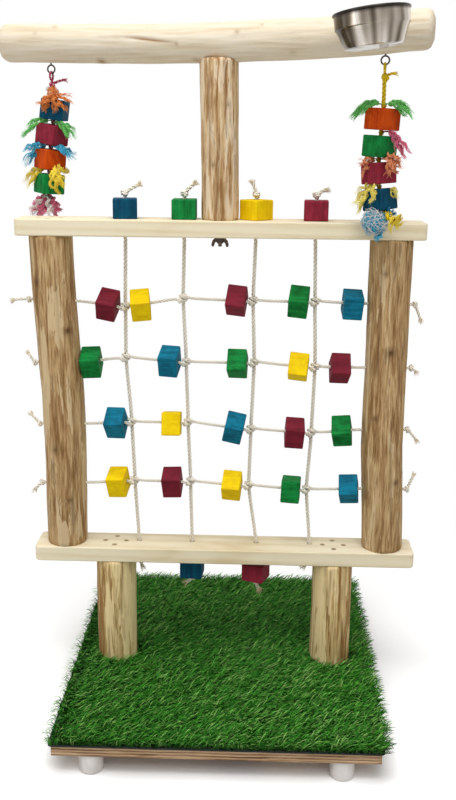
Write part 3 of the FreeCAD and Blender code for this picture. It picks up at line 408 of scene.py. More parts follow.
def dyedBlock(name, tones, stood):
    made = Finish(name)
    colour, deep = (tone(*channels) for channels in tones)
    stretch = (150, 150, 18) if stood else (18, 150, 150)
    grain = made.grain(stretch, 4, 0.65, 0.4)
    mottle = made.grain((70, 70, 70), 4, 0.6, shift=(2, 1, 5))
    saw = made.grain((420, 420, 420), 2, 0.5)
    base = made.mix(made.step(0.55 * grain + 0.45 * mottle, 0.36, 0.62), deep, colour)
    pale = tuple(0.62 * c + 0.38 * p for c, p in zip(colour, (0.62, 0.56, 0.46)))
    base = made.mix(made.step(saw * 0.5 + grain * 0.5, 0.60, 0.72) * 0.22, base, pale)
    return made.done({"Base Color": base, "Roughness": 0.6 + 0.2 * mottle, "Specular IOR Level": 0.14},
                     0.5 * grain + 0.3 * mottle + 0.3 * saw, 0.35, 0.0010)


# the two tones of each dye, on the blocks that lie along a rope and on those that stand on one
dyes = {
    "blue": (((8, 120, 148), (0, 86, 112)), ((0, 80, 108), (0, 55, 80))),
    "green": (((12, 132, 58), (0, 88, 32)), ((18, 136, 64), (4, 94, 38))),
    "yellow": (((248, 214, 4), (230, 190, 0)), ((244, 210, 4), (226, 186, 0))),
    "maroon": (((126, 31, 49), (99, 22, 36)), ((150, 42, 62), (120, 30, 46))),
    "orange": (((212, 80, 6), (176, 54, 0)), ((212, 80, 6), (176, 54, 0))),
}


def spunFibre(name, tones):
    made = Finish(name)
    pale, dark, *flecks = (tone(*colour) for colour in tones)
    lie = made.grain((900, 900, 900), 2, 0.6)
    cloud = made.grain((60, 60, 60), 3, 0.5)
    base = made.mix((0.6 * lie + 0.5 * cloud).held(), dark, pale)
    for fleck in flecks:
        base = made.mix(made.step(made.grain((330, 330, 330), 1, shift=(4, 4, 4)), 0.53, 0.58), base, fleck)
    # painted shade in the creases between a rope's strands
    groove = made.attribute("groove")
    base = made.mix(groove * 0.62, base, tuple(channel * 0.42 for channel in dark))
    return made.done({"Base Color": base, "Roughness": 0.88, "Specular IOR Level": 0.15,
                      "Sheen Weight": 0.1}, lie, 0.5, 0.0004)


def spunSteel(name):                            # painted reflections: bands round the axis and a dark rim, from the marks stored on the bowl's mesh
    made = Finish(name)
    band = made.attribute("band")
    rim = made.attribute("rim")
    smear = made.grain((70, 70, 70), 3, 0.5)
    scratch = made.grain((700, 700, 1600), 2, 0.5)
    # painted reflection bands, dark to pale
    base = made.ramp((band + 0.10 * smear).held(), (0.08, tone(74, 66, 56)), (0.34, tone(132, 122, 110)),
                     (0.62, tone(172, 162, 150)), (0.92, tone(216, 208, 198)))
    # painted dark reflection on the rolled rim
    base = made.mix(rim * 0.95, base, tone(44, 40, 36))
    return made.done({"Base Color": base, "Metallic": 1.0, "Roughness": 0.16 + 0.14 * smear},
                     scratch, 0.05, 0.0002)


def brushedMetal(name, look):
    made = Finish(name)
    brush = made.grain(look["brush"], 3, 0.6)
    smear = made.grain((25, 25, 25), 3, 0.5)
    base = made.mix((0.5 * brush + 0.5 * smear).held(), tone(*look["dark"]), tone(*look["pale"]))
    rough = look["rough"] + 0.12 * smear
    return made.done({"Base Color": base, "Metallic": look["metal"], "Roughness": rough},
                     brush, look["relief"], 0.0002)


metals = {
    "yellowZinc": {"pale": (190, 168, 128), "dark": (140, 118, 84), "metal": 0.9, "rough": 0.34,
                   "brush": (400, 400, 400), "relief": 0.1},
    "zincSteel": {"pale": (120, 104, 84), "dark": (74, 62, 50), "metal": 0.9, "rough": 0.35,
                  "brush": (300, 300, 300), "relief": 0.2},
    "darkWire": {"pale": (96, 82, 70), "dark": (52, 44, 40), "metal": 0.8, "rough": 0.38,
                 "brush": (500, 500, 500), "relief": 0.2},
}


def mouldedPlastic(name):
    made = Finish(name)
    orange = made.grain((240, 240, 240), 2, 0.5)
    scuff = made.grain((40, 40, 14), 4, 0.6)
    base = made.mix(made.step(scuff, 0.45, 0.7), tone(240, 236, 233), tone(222, 216, 212))
    return made.done({"Base Color": base, "Roughness": 0.42 + 0.15 * scuff}, orange, 0.15, 0.0004)


def turfBlades(name):
    made = Finish(name)
    height = made.apart(made.coords, "Z")
    # painted shade: blades are dark low down, among the other blades near the backing, and less so at the open left
    # edge
    rise = made.step(height * 1000, 56, 74)
    atEdge = made.step(height.other("X") * -1000, 222, 236)
    rise = (rise + atEdge * made.step(height * 1000, 53, 58) * 0.75).held()
    kind = made.attribute("bladeKind")
    patch = made.grain((9, 9, 9), 3, 0.6)
    base = made.ramp((kind * 0.85 + patch * 0.25).held(), (0.08, tone(28, 96, 12)), (0.40, tone(50, 134, 30)),
                     (0.72, tone(82, 166, 54)), (0.97, tone(156, 204, 110)))
    base = made.mix(rise, tone(10, 46, 4), base)
    return made.done({"Base Color": base, "Roughness": 0.6, "Specular IOR Level": 0.12})


def wovenBacking(name):
    made = Finish(name)
    weave = made.grain((260, 260, 500), 2, 0.5)
    base = made.mix(weave, tone(14, 20, 20), tone(34, 46, 42))
    return made.done({"Base Color": base, "Roughness": 0.9}, weave, 0.6, 0.001)


def clearBead(name):
    made = Finish(name)
    haze = made.grain((300, 300, 300), 2, 0.5)
    base = made.mix(haze, tone(236, 238, 240), tone(214, 216, 220))
    return made.done({"Base Color": base, "Roughness": 0.12, "Alpha": 0.55, "IOR": 1.45}, haze, 0.1, 0.0003)


finishes = {
    "pine": planedPine("planedPine", pineTones),
    "plywood": layeredPlywood("layeredPlywood"),
    "plastic": mouldedPlastic("whitePlastic"),
    "stainless": spunSteel("spunSteel"),
    "turf": turfBlades("turfBlades"),
    "backing": wovenBacking("turfBacking"),
    "bead": clearBead("clearBead"),
}
# pale tone, dark tone and flecks of each rope, cord and tuft
fibreTones = {
    "rope": ((255, 252, 242), (240, 228, 204)),
    "fray": ((238, 222, 188), (206, 180, 134)),
    "pinkCord": ((214, 60, 104), (150, 26, 66), (244, 214, 220)),
    "yellowCord": ((255, 230, 44), (244, 202, 18)),
    "orangeTuft": ((246, 168, 96), (216, 112, 40)),
    "greenTuft": ((156, 240, 136), (58, 176, 78)),
    "blueTuft": ((96, 208, 232), (20, 144, 190)),
    "yellowTuft": ((255, 238, 96), (242, 206, 36)),
    "creamTuft": ((254, 244, 140), (240, 218, 84)),
    "pinkTuft": ((246, 150, 176), (214, 66, 116)),
    "peachTuft": ((250, 186, 140), (226, 118, 60)),
    "whiteTuft": ((250, 244, 240), (220, 206, 204)),
    "tealTuft": ((30, 140, 170), (6, 84, 118)),
}
for log, look in logTones.items():
    finishes[log] = peeledLog(f"peeled{log.title()}", look)
for name, tones in fibreTones.items():
    label = {"rope": "creamRope", "fray": "tanFray"}.get(name, name)
    finishes[name] = spunFibre(label, tones)
for metal, look in metals.items():
    finishes[metal] = brushedMetal(metal, look)
for dye, (lying, standing) in dyes.items():
    finishes[dye] = dyedBlock(f"{dye}Block", lying, False)
    finishes[f"{dye}Stood"] = dyedBlock(f"{dye}BlockStood", standing, True)
print("finishes made")


# floor, light and background
studio = {
    "floor": 6.0, "sky": 0.30, "lift": 0.01, "paleness": 1.24, "fade": (0.45, 1.0), "target": (0, 0, 0.6),
    # energy, size and place of each light
    "lights": {"topLight": (158, 3.2, (-0.3, -1.0, 4.6)), "frontLight": (28, 1.8, (0.6, -2.2, 2.9)),
               "sideLight": (8, 1.2, (-2.4, -1.0, 1.4))},
}


def addLight(name, energy, size, place):
    light = bpy.data.lights.new(name, "AREA")
    light.energy = energy
    light.size = size
    lamp = linked(name, light)
    lamp.location = place
    lamp.rotation_euler = (Vector(studio["target"]) - Vector(place)).to_track_quat("-Z", "Y").to_euler()


def makeStudio():
    half = studio["floor"]
    mesh = bpy.data.meshes.new("floor")
    corners = [(-half, -half, 0), (half, -half, 0), (half, half, 0), (-half, half, 0)]
    mesh.from_pydata(corners, [], [(0, 1, 2, 3)])
    floor = linked("floor", mesh)
    made = Finish("paleFloor")
    camera = made.node("ShaderNodeLightPath", {}, {}, "Is Camera Ray")
    glossy = camera.other("Is Glossy Ray")
    seen = (camera + glossy).held()
    speck = made.grain((3, 3, 3), 2)
    bright = (studio["paleness"],) * 3
    base = made.mix(seen, tone(226, 225, 222), made.mix(speck, tone(252, 252, 252), bright))
    plain = made.node("ShaderNodeBsdfDiffuse", {}, {"Color": base, "Roughness": 0.5})
    lift = made.node("ShaderNodeEmission", {}, {"Color": (1, 1, 1, 1), "Strength": seen * studio["lift"]})
    near = made.node("ShaderNodeAddShader", {}, {0: plain, 1: lift})
    white = made.node("ShaderNodeEmission", {}, {"Color": (1, 1, 1, 1), "Strength": 1.0})
    away = made.node("ShaderNodeVectorMath", {"operation": "LENGTH"}, {0: made.coords}, "Value")
    far = made.step(away, *studio["fade"]) * seen
    mesh.materials.append(made.finishWith(made.node("ShaderNodeMixShader", {}, {0: far, 1: near, 2: white})))
    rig.stage(floor)
    world = bpy.data.worlds.new("studioSky")
    bpy.context.scene.world = world
    world.use_nodes = True
    sky = Graph(world.node_tree)
    world.node_tree.nodes.clear()
    camera = sky.node("ShaderNodeLightPath", {}, {}, "Is Camera Ray")
    seen = (camera + camera.other("Is Glossy Ray") + camera.other("Is Transmission Ray")).held()
    strength = seen * (1.0 - studio["sky"]) + studio["sky"]
    shader = sky.node("ShaderNodeBackground", {}, {"Color": (1, 1, 1, 1), "Strength": strength})
    output = world.node_tree.nodes.new("ShaderNodeOutputWorld")
    world.node_tree.links.new(shader.socket, output.inputs["Surface"])
    for name, (energy, size, place) in studio["lights"].items():
        addLight(name, energy, size, place)


makeStudio()
print("studio made")


# meshes, and modifiers turned into plain meshes
def newObject(name, data, body, *materials, slot=None):
    made = linked(name, data)
    for material in materials:
        made.data.materials.append(finishes[material])
    if body:
        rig.ride(made, body)
    if slot:
        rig.slot(made, slot)
    return made


def meshFrom(mesh, name, smooth=True):
    made = bpy.data.meshes.new(name)
    mesh.to_mesh(made)
    mesh.free()
    if smooth:
        made.polygons.foreach_set("use_smooth", [True] * len(made.polygons))
    return made


def bridge(mesh, low, high):                    # a band of faces between two closed rings
    for step in range(len(low)):
        after = (step + 1) % len(low)
        mesh.faces.new((low[step], low[after], high[after], high[step]))


def lathe(mesh, verts, edges, steps):           # a profile turned about the z axis
    bmesh.ops.spin(mesh, geom=verts + edges, cent=(0, 0, 0), axis=(0, 0, 1), angle=math.tau, steps=steps,
                   use_duplicate=False)
    bmesh.ops.remove_doubles(mesh, verts=mesh.verts, dist=1e-6)
    bmesh.ops.recalc_face_normals(mesh, faces=mesh.faces)


def ringAngles(count):
    return [math.tau * step / count for step in range(count)]


def shortWay(angle):                            # the same angle, between -pi and pi
    return (angle + math.pi) % math.tau - math.pi


def between(places, values, place):             # straight between stations
    for (low, start), (high, end) in zip(zip(places, values), list(zip(places, values))[1:]):
        if place <= high:
            share = max(0.0, (place - low) / (high - low))
            return start + (end - start) * share
    return values[-1]


def baked(source, name, body, slot=None):       # a modifier's result as a plain mesh
    bpy.context.view_layer.update()
    result = bpy.data.meshes.new_from_object(source.evaluated_get(bpy.context.evaluated_depsgraph_get()))
    result.name = name
    data = source.data
    bpy.data.objects.remove(source)
    if data.users == 0 and isinstance(data, bpy.types.Curve):
        bpy.data.curves.remove(data)
    return newObject(name, result, body, slot=slot)


def newTree(name, *inputs):
    tree = bpy.data.node_groups.new(name, "GeometryNodeTree")
    tree.interface.new_socket("Geometry", in_out="INPUT", socket_type="NodeSocketGeometry")
    for label, kind, value in inputs:
        socket = tree.interface.new_socket(label, in_out="INPUT", socket_type=f"NodeSocket{kind}")
        socket.default_value = value
    tree.interface.new_socket("Geometry", in_out="OUTPUT", socket_type="NodeSocketGeometry")
    graph = Graph(tree)
    start = graph.node("NodeGroupInput")
    return graph, start


def closeTree(graph, geometry, material):
    tree = graph.tree
    real = graph.node("GeometryNodeRealizeInstances", {}, {"Geometry": geometry})
    dressed = graph.node("GeometryNodeSetMaterial", {}, {"Geometry": real, "Material": finishes[material]})
    end = tree.nodes.new("NodeGroupOutput")
    tree.links.new(dressed.socket, end.inputs["Geometry"])
    return tree


def setInputs(made, tree, values):
    modifier = made.modifiers.new(tree.name, "NODES")
    modifier.node_group = tree
    for item in tree.interface.items_tree:
        if item.in_out == "INPUT" and item.name in values:
            modifier[item.identifier] = values[item.name]


# rope: three strands twisted round a path, with sizes as shares of the rope's diameter
# the last entry is the painted shade in the creases between the strands, fading outward, as a slope and a level
strands = {"count": 3, "radius": 0.238, "reach": 0.272, "sides": 8, "groove": (-3.4, 1.5)}


def ropeTree(material):
    graph, start = newTree(f"twisted_{material}", ("Diameter", "Float", 0.005), ("Lay", "Float", 0.016),
                           ("Step", "Float", 0.002))
    diameter = start.other("Diameter")
    even = graph.node("GeometryNodeResampleCurve", {"mode": "LENGTH"}, {
        "Curve": start.other("Geometry"), "Length": start.other("Step")})
    length = graph.node("GeometryNodeSplineParameter", {}, {}, "Length")
    twist = length / start.other("Lay") * math.tau
    turned = graph.node("GeometryNodeSetCurveTilt", {}, {"Curve": even, "Tilt": twist})
    strand = graph.node("GeometryNodeCurvePrimitiveCircle", {}, {
        "Resolution": strands["sides"], "Radius": diameter * strands["radius"]})
    join = graph.tree.nodes.new("GeometryNodeJoinGeometry")
    reach = diameter * strands["reach"]
    for angle in ringAngles(strands["count"]):
        offset = graph.node("ShaderNodeCombineXYZ", {}, {
            "X": reach * math.cos(angle), "Y": reach * math.sin(angle)})
        moved = graph.node("GeometryNodeTransform", {}, {"Geometry": strand, "Translation": offset})
        graph.tree.links.new(moved.socket, join.inputs["Geometry"])
    # painted shade: each strand is darker on its inner side, where the strands press together
    outward = graph.node("ShaderNodeVectorMath", {"operation": "LENGTH"}, {
        0: graph.node("GeometryNodeInputPosition")}, "Value")
    slope, level = strands["groove"]
    groove = ((outward / diameter) * slope + level).held()
    marked = graph.node("GeometryNodeStoreNamedAttribute", {"data_type": "FLOAT", "domain": "POINT"}, {
        "Geometry": Wire(graph, join.outputs[0]), "Name": "groove", "Value": groove})
    wound = graph.node("GeometryNodeCurveToMesh", {}, {
        "Curve": turned, "Profile Curve": marked, "Fill Caps": True})
    shaded = graph.node("GeometryNodeSetShadeSmooth", {}, {"Geometry": wound, "Shade Smooth": True})
    return closeTree(graph, shaded, material)


ropeTrees = {material: ropeTree(material) for material in ("rope", "pinkCord", "yellowCord")}


def routeCurve(name, routes, resolution=8, taper=0.0):
    data = bpy.data.curves.new(name, "CURVE")
    data.dimensions = "3D"
    data.resolution_u = resolution
    for route in routes:
        spline = data.splines.new("NURBS")
        spline.points.add(len(route) - 1)
        for number, (point, place) in enumerate(zip(spline.points, route)):
            point.co = (*place, 1)
            if taper:
                point.radius = 1 - taper * number / (len(route) - 1)
        spline.order_u = 3
        spline.use_endpoint_u = True
    return data


def readRoute(route):                           # points along the smooth line of one route
    probe = linked("probe", routeCurve("probe", [route]))
    bpy.context.view_layer.update()
    line = bpy.data.meshes.new_from_object(probe)
    points = [vertex.co.copy() for vertex in line.vertices]
    bpy.data.objects.remove(probe)
    bpy.data.meshes.remove(line)
    return points


def twistedRope(name, routes, diameter, lay, material, body, slot):
    source = linked(name, routeCurve(name, routes))
    setInputs(source, ropeTrees[material], {"Diameter": diameter, "Lay": lay, "Step": lay / 9})
    return baked(source, name, body, slot)


def overhand(middle, size, along, turn=0.0):    # a knot's rope, as a route round its middle
    way = Vector(along).normalized()
    frameTurn = way.to_track_quat("Z", "Y").to_matrix() @ Matrix.Rotation(turn, 3, "Z")
    route = []
    for step in range(25):
        angle = step / 24 * math.tau
        point = Vector((math.sin(angle) + 2 * math.sin(2 * angle), math.cos(angle) - 2 * math.cos(2 * angle),
                        -1.3 * math.sin(3 * angle)))
        route.append(middle + frameTurn @ (point * size / 3))
    return route


# loose fibres
def fibres(name, lines, thickness, material, body, slot=None):
    data = routeCurve(name, lines, 1 if len(lines[0]) > 8 else 3, 0.55)
    data.bevel_depth = thickness
    data.bevel_resolution = 0
    data.use_fill_caps = True
    data.materials.append(finishes[material])
    return baked(linked(name, data), name, body, slot)


# wavy yarns in a bunch: share is how many more strands they take than loose ones, ends is where strands stop
yarn = {"steps": 14, "stray": 0.012, "coil": 0.020, "wave": (0.013, 0.018), "girth": 0.0021, "share": 1.6,
        "ends": (11, 13, 14, 15), "loose": (0.0, 0.0, 0.02, 0.05, 0.10)}


def spray(root, heading, length, spread, count, droop, curl, seed, gather, locks=0):
    # strands that leave one place, each on its own or lying along one of a few wavy yarns
    pick = random.Random(seed)
    way = Vector(heading).normalized()
    side = way.orthogonal().normalized()
    other = way.cross(side)

    def wave(size):
        return Vector((pick.uniform(-1, 1), pick.uniform(-1, 1), pick.uniform(-1, 1))) * size

    def around(angle):
        return side * math.cos(angle) + other * math.sin(angle)

    def course(steps, wobble):
        angle = pick.uniform(0, math.tau)
        lean = spread * math.sqrt(pick.random())
        out = (way + around(angle) * lean).normalized()
        reach = length * pick.uniform(0.65, 1.0)
        start = root + around(angle) * gather * pick.random()
        line = [start]
        for step in range(1, steps + 1):
            share = step / steps
            fall = Vector((0, 0, -droop * reach * share * share))
            line.append(start + out * reach * share + fall + wave(wobble * reach) * share ** 0.5)
        return line

    if not locks:
        return [course(4, curl) for number in range(count)]
    lines = []
    for number in range(locks):
        spine = course(yarn["steps"], yarn["stray"])
        phase, size = pick.uniform(0, math.tau), pick.uniform(0.8, 1.3) * curl * yarn["coil"]
        turns = length / pick.uniform(*yarn["wave"])
        for strand in range(round(count / locks * yarn["share"])):
            shift = wave(1.0).normalized()
            girth = pick.uniform(0.2, 1.0) * yarn["girth"]
            stray = wave(1.0).normalized() * length * pick.choice(yarn["loose"])
            line = []
            for step, point in enumerate(spine[:pick.choice(yarn["ends"])]):
                share = step / yarn["steps"]
                coil = around(phase + share * turns * math.tau) * size * min(1.0, share * 4)
                line.append(point + coil + shift * girth * (0.7 + 0.9 * share) + stray * share * share)
            lines.append(line)
    return lines


def curlBall(middle, radius, count, seed):      # loose loops of fibre round a middle
    pick = random.Random(seed)
    lines = []
    for number in range(count):
        axis = Vector((pick.gauss(0, 1), pick.gauss(0, 1), pick.gauss(0, 1))).normalized()
        first = axis.orthogonal().normalized()
        second = axis.cross(first)
        start = pick.uniform(0, math.tau)
        size = radius * pick.uniform(0.55, 1.0)
        lift = axis * radius * pick.uniform(-0.5, 0.5)
        sweep = pick.uniform(1.6, 3.4)
        line = []
        for step in range(7):
            angle = start + sweep * step / 6
            ripple = 1 + pick.uniform(-0.16, 0.16)
            line.append(middle + lift + (first * math.cos(angle) + second * math.sin(angle)) * size * ripple)
        lines.append(line)
    return lines


# toy cords: along and up on the perch's axes
toyCords = {
    "left": {
        "colour": "pinkCord", "slot": "pink_cord", "diameter": 4.8,
        "points": [(-276, 1020.76), (-269.5, 1001.8), (-275.5, 963.6), (-281.3, 925.3), (-285.3, 886.9),
                   (-288.0, 848.3), (-288.0, 828.3)],
        "ring": (-276, 1033.06), "tail": (21, 7), "blocks": ("blue", "maroon", "orange", "green"),
    },
    "right": {
        "colour": "yellowCord", "slot": "yellow_cord", "diameter": 4.8,
        "points": [(245, 1029.92), (246, 989.9), (244.0, 951.3), (242.0, 912.7), (244.7, 874.1),
                   (248.7, 835.7), (248.7, 822.7)],
        "ring": (245, 1042.2), "tail": (14, 5), "blocks": ("orange", "green", "maroon", "blue"),
    },
}


def makeToyCord(side):
    toy = toyCords[side]
    route = [onArm(s, 0, z) for s, z in toy["points"]]
    diameter = toy["diameter"] / 1000
    body = f"{side}_toy"
    line = readRoute(route)
    cord = twistedRope(f"{side}ToyCord", [route], diameter * 1.4, 0.018, toy["colour"], body, toy["slot"])
    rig.replaces(cord, f"{side}_toy_cord")
    knots = [overhand(route[0] + mm(1, -1.5, -1.5), 0.0060, (1, 0.2, 0.3), 0.4)]
    for place in route[1:-1]:
        knots.append(overhand(place, 0.0028, (0.2, 0.3, 1), 0.9))
    stub = route[0] + armMatrix.to_3x3() @ mm(toy["tail"][0], 0, toy["tail"][1])
    middle = (route[0] + stub) / 2 + mm(0, -1.5, 1.5)
    knots.append([route[0], middle, stub])
    tied = twistedRope(f"{side}ToyKnots", knots, diameter * 0.95, 0.014, toy["colour"], body, toy["slot"])
    s, z = toy["ring"]
    angles = [math.pi * (0.94 + step / 6) for step in range(13)]
    around = [onArm(s, 6.1 * math.sin(angle), z + 6.3 * math.cos(angle)) for angle in angles]
    loop = twistedRope(f"{side}ToyLoop", [around], 0.0040, 0.012, toy["colour"], f"{side}_toy_loop",
                       toy["slot"])
    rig.replaces(loop, f"{side}_toy_loop")
    away = (stub - route[0]).normalized()
    ends = spray(stub - away * 0.002, away, 0.009, 0.5, 22, 0.3, 0.1, 5, 0.0015)
    frayed = fibres(f"{side}ToyStubFray", ends, 0.0004, toy["colour"], body, toy["slot"])
    return cord, line, [tied, frayed]


toyParts = {side: makeToyCord(side) for side in toyCords}
print("toy cords made")


# tufts tied between the toy blocks
# place on the perch's axes, heading, length, spread, count, droop, curl, and how many yarns
toyTufts = {
    "left": {
        "orangeTuft": [((-268, -21, 1003), (0.2, -0.5, -0.8), 26, 0.9, 90, 0.2, 0.16, 8),
                       ((-262, -16, 1003), (1.0, -0.4, 0.1), 42, 0.30, 34, 0.20, 0.06, 5),
                       ((-262, -16, 1000), (1.0, -0.5, -0.2), 32, 0.4, 26, 0.30, 0.06, 4),
                       ((-272, -18, 1003), (-0.8, -0.6, -0.6), 24, 0.7, 60, 0.3, 0.12, 6)],
        "greenTuft": [((-283, -6, 966), (-1, -0.3, 0.15), 42, 0.30, 100, 0.62, 0.08, 6),
                      ((-267, -6, 962), (1, -0.35, -0.05), 42, 0.30, 100, 0.50, 0.08, 6)],
        "blueTuft": [((-289, -6, 928), (-1, -0.35, 0.0), 38, 0.5, 110, 0.55, 0.14, 7),
                     ((-273, -6, 926), (1, -0.3, -0.05), 40, 0.45, 100, 0.45, 0.13, 6)],
        "yellowTuft": [((-293, -6, 890), (-1, -0.35, 0.1), 36, 0.55, 80, 0.7, 0.15, 6),
                       ((-277, -6, 890), (1, -0.35, 0.15), 38, 0.5, 70, 0.2, 0.15, 5),
                       ((-272, -20, 888), (0.55, -0.5, -0.8), 34, 0.4, 130, 0.2, 0.12, 7)],
        "pinkTuft": [((-292, -3, 848), (-0.9, -0.2, -0.35), 30, 0.5, 90, 0.7, 0.16, 6),
                     ((-286, -3, 848), (0.55, -0.25, -0.85), 36, 0.35, 110, 0.25, 0.16, 6),
                     ((-292, -4, 846), (-0.35, -0.25, -0.95), 34, 0.40, 90, 0.1, 0.18, 6)],
        "whiteTuft": [((-291, -6, 847), (-0.6, -0.3, -0.8), 34, 0.5, 60, 0.25, 0.18, 5),
                      ((-287, -6, 847), (0.45, -0.3, -0.9), 33, 0.4, 60, 0.20, 0.18, 5)],
    },
    "right": {
        "greenTuft": [((238, -5, 992), (-1, -0.3, 0.30), 42, 0.28, 120, 0.75, 0.08, 6),
                      ((254, -5, 992), (1, -0.35, 0.30), 42, 0.30, 130, 0.70, 0.09, 7)],
        "pinkTuft": [((258, -8, 953), (0.75, -0.5, -0.5), 40, 0.3, 130, 0.35, 0.07, 7)],
        "peachTuft": [((236, -6, 914), (-1, -0.4, -0.3), 27, 0.5, 60, 0.3, 0.14, 5),
                      ((250, -10, 918), (0.9, -0.6, -0.25), 40, 0.4, 90, 0.2, 0.13, 6),
                      ((262, -14, 914), (0.6, -0.5, -0.7), 26, 0.7, 60, 0.2, 0.18, 6)],
        "creamTuft": [((238, -8, 876), (-1, -0.4, -0.4), 36, 0.5, 120, 0.5, 0.12, 8),
                      ((240, -20, 877), (0.1, -0.5, -0.8), 26, 0.3, 50, 0.2, 0.1, 4),
                      ((262, -8, 870), (1, -0.3, -0.5), 16, 0.5, 24, 0.3, 0.15, 3)],
        "yellowTuft": [((268, -16, 828), (0.55, -0.4, -0.4), 15, 1.0, 110, 0.2, 0.3, 9)],
        "blueTuft": [((245, -14, 815), (-0.2, -0.4, -0.9), 20, 1.1, 60, 0.2, 0.25, 6)],
        "tealTuft": [((256, -8, 838), (0.8, -0.4, -0.1), 26, 0.6, 70, 0.4, 0.14, 5)],
    },
}
frayedBall = {"middle": (242, -15, 823), "radius": 20, "blueTuft": 190, "whiteTuft": 110}


def makeTufts(side):
    made = []
    turn = armMatrix.to_3x3()
    for material, bunches in toyTufts[side].items():
        lines = []
        for number, (place, heading, length, spread, count, droop, curl, locks) in enumerate(bunches):
            lines += spray(onArm(*place), turn @ Vector(heading), length / 1000, spread, count, droop, curl,
                           number * 7 + len(material), 0.003, locks)
            lines += tie(onArm(*place), side, place[2], len(material) + number)
        if side == "left" and material == "orangeTuft":
            lines += curlBall(onArm(-268, -14, 1007), 0.010, 70, 12)
        if side == "right" and material in frayedBall:
            lines += curlBall(onArm(*frayedBall["middle"]), frayedBall["radius"] / 1000,
                              frayedBall[material], 8)
        name = f"{side}{material[0].upper()}{material[1:]}"
        made.append(fibres(name, lines, 0.00045, material, f"{side}_toy"))
    if side == "right":
        lines = curlBall(onArm(*frayedBall["middle"]), frayedBall["radius"] / 1000 * 1.02,
                         frayedBall["whiteTuft"], 31)
        made.append(fibres("rightWhiteTuft", lines, 0.0005, "whiteTuft", "right_toy"))
        places = ((250, -4, 839), (256, -14, 839), (262, -18, 832), (268, -18, 826))
        knot = [onArm(*place) for place in places]
        routes = [knot, overhand(knot[2], 0.0058, (1, 0, -0.4), 1.0)]
        made.append(twistedRope("rightYellowEnd", routes, 0.0056, 0.016, "yellowCord", "right_toy",
                                "yellow_cord"))
    return made


def tie(place, side, height, seed):             # the strands that join a bunch to the toy's cord
    line = sorted(toyParts[side][1], key=lambda point: point.z)
    above = next((number for number, point in enumerate(line) if point.z > height / 1000), len(line) - 1)
    low, high = line[max(0, above - 1)], line[above]
    near = low.lerp(high, min(1.0, max(0.0, (height / 1000 - low.z) / max(1e-6, high.z - low.z))))
    pick = random.Random(seed)
    lines = []
    for strand in range(14):
        shift = Vector((pick.uniform(-1, 1), pick.uniform(-1, 1), pick.uniform(-0.6, 0.6))) / 1000 * 1.4
        lines.append([near + shift, near.lerp(place, 0.5) + shift * 1.2, place + shift])
    return lines


def makeBead():
    place = onArm(-281, -3, 1013.8)
    mesh = bmesh.new()
    ring = []
    for step in range(16):                      # round outside, straight bore
        angle = math.pi * (0.14 + 0.72 * step / 15)
        ring.append(mesh.verts.new((0.0042 * math.sin(angle), 0, 0.0042 * math.cos(angle))))
    bore = 0.0012
    inner = [mesh.verts.new((bore, 0, z)) for z in (-0.0034, -0.0011, 0.0011, 0.0034)]
    loop = ring + inner
    edges = [mesh.edges.new(pair) for pair in zip(loop, loop[1:] + loop[:1])]
    lathe(mesh, loop, edges, 28)
    mesh.transform(Matrix.Translation(place) @ Matrix.Rotation(0.5, 4, "Y"))
    return newObject("leftToyBead", meshFrom(mesh, "leftToyBead"), "left_toy", "bead")


for side, (cord, line, extras) in toyParts.items():
    pieces = makeTufts(side) + extras
    if side == "left":
        pieces.append(makeBead())
    blocks = [f"{side}_toy_block{n}_{c}" for n, c in enumerate(toyCords[side]["blocks"], start=1)]
    length = sum((b - a).length for a, b in zip(line, line[1:]))
    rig.cord(cord, exit=line[0], length=length, diameter=toyCords[side]["diameter"] / 1000, far_end="knot",
            stiffness="limp", lay="hanging", path=line, with_pieces=pieces + blocks)
print("toys dressed")


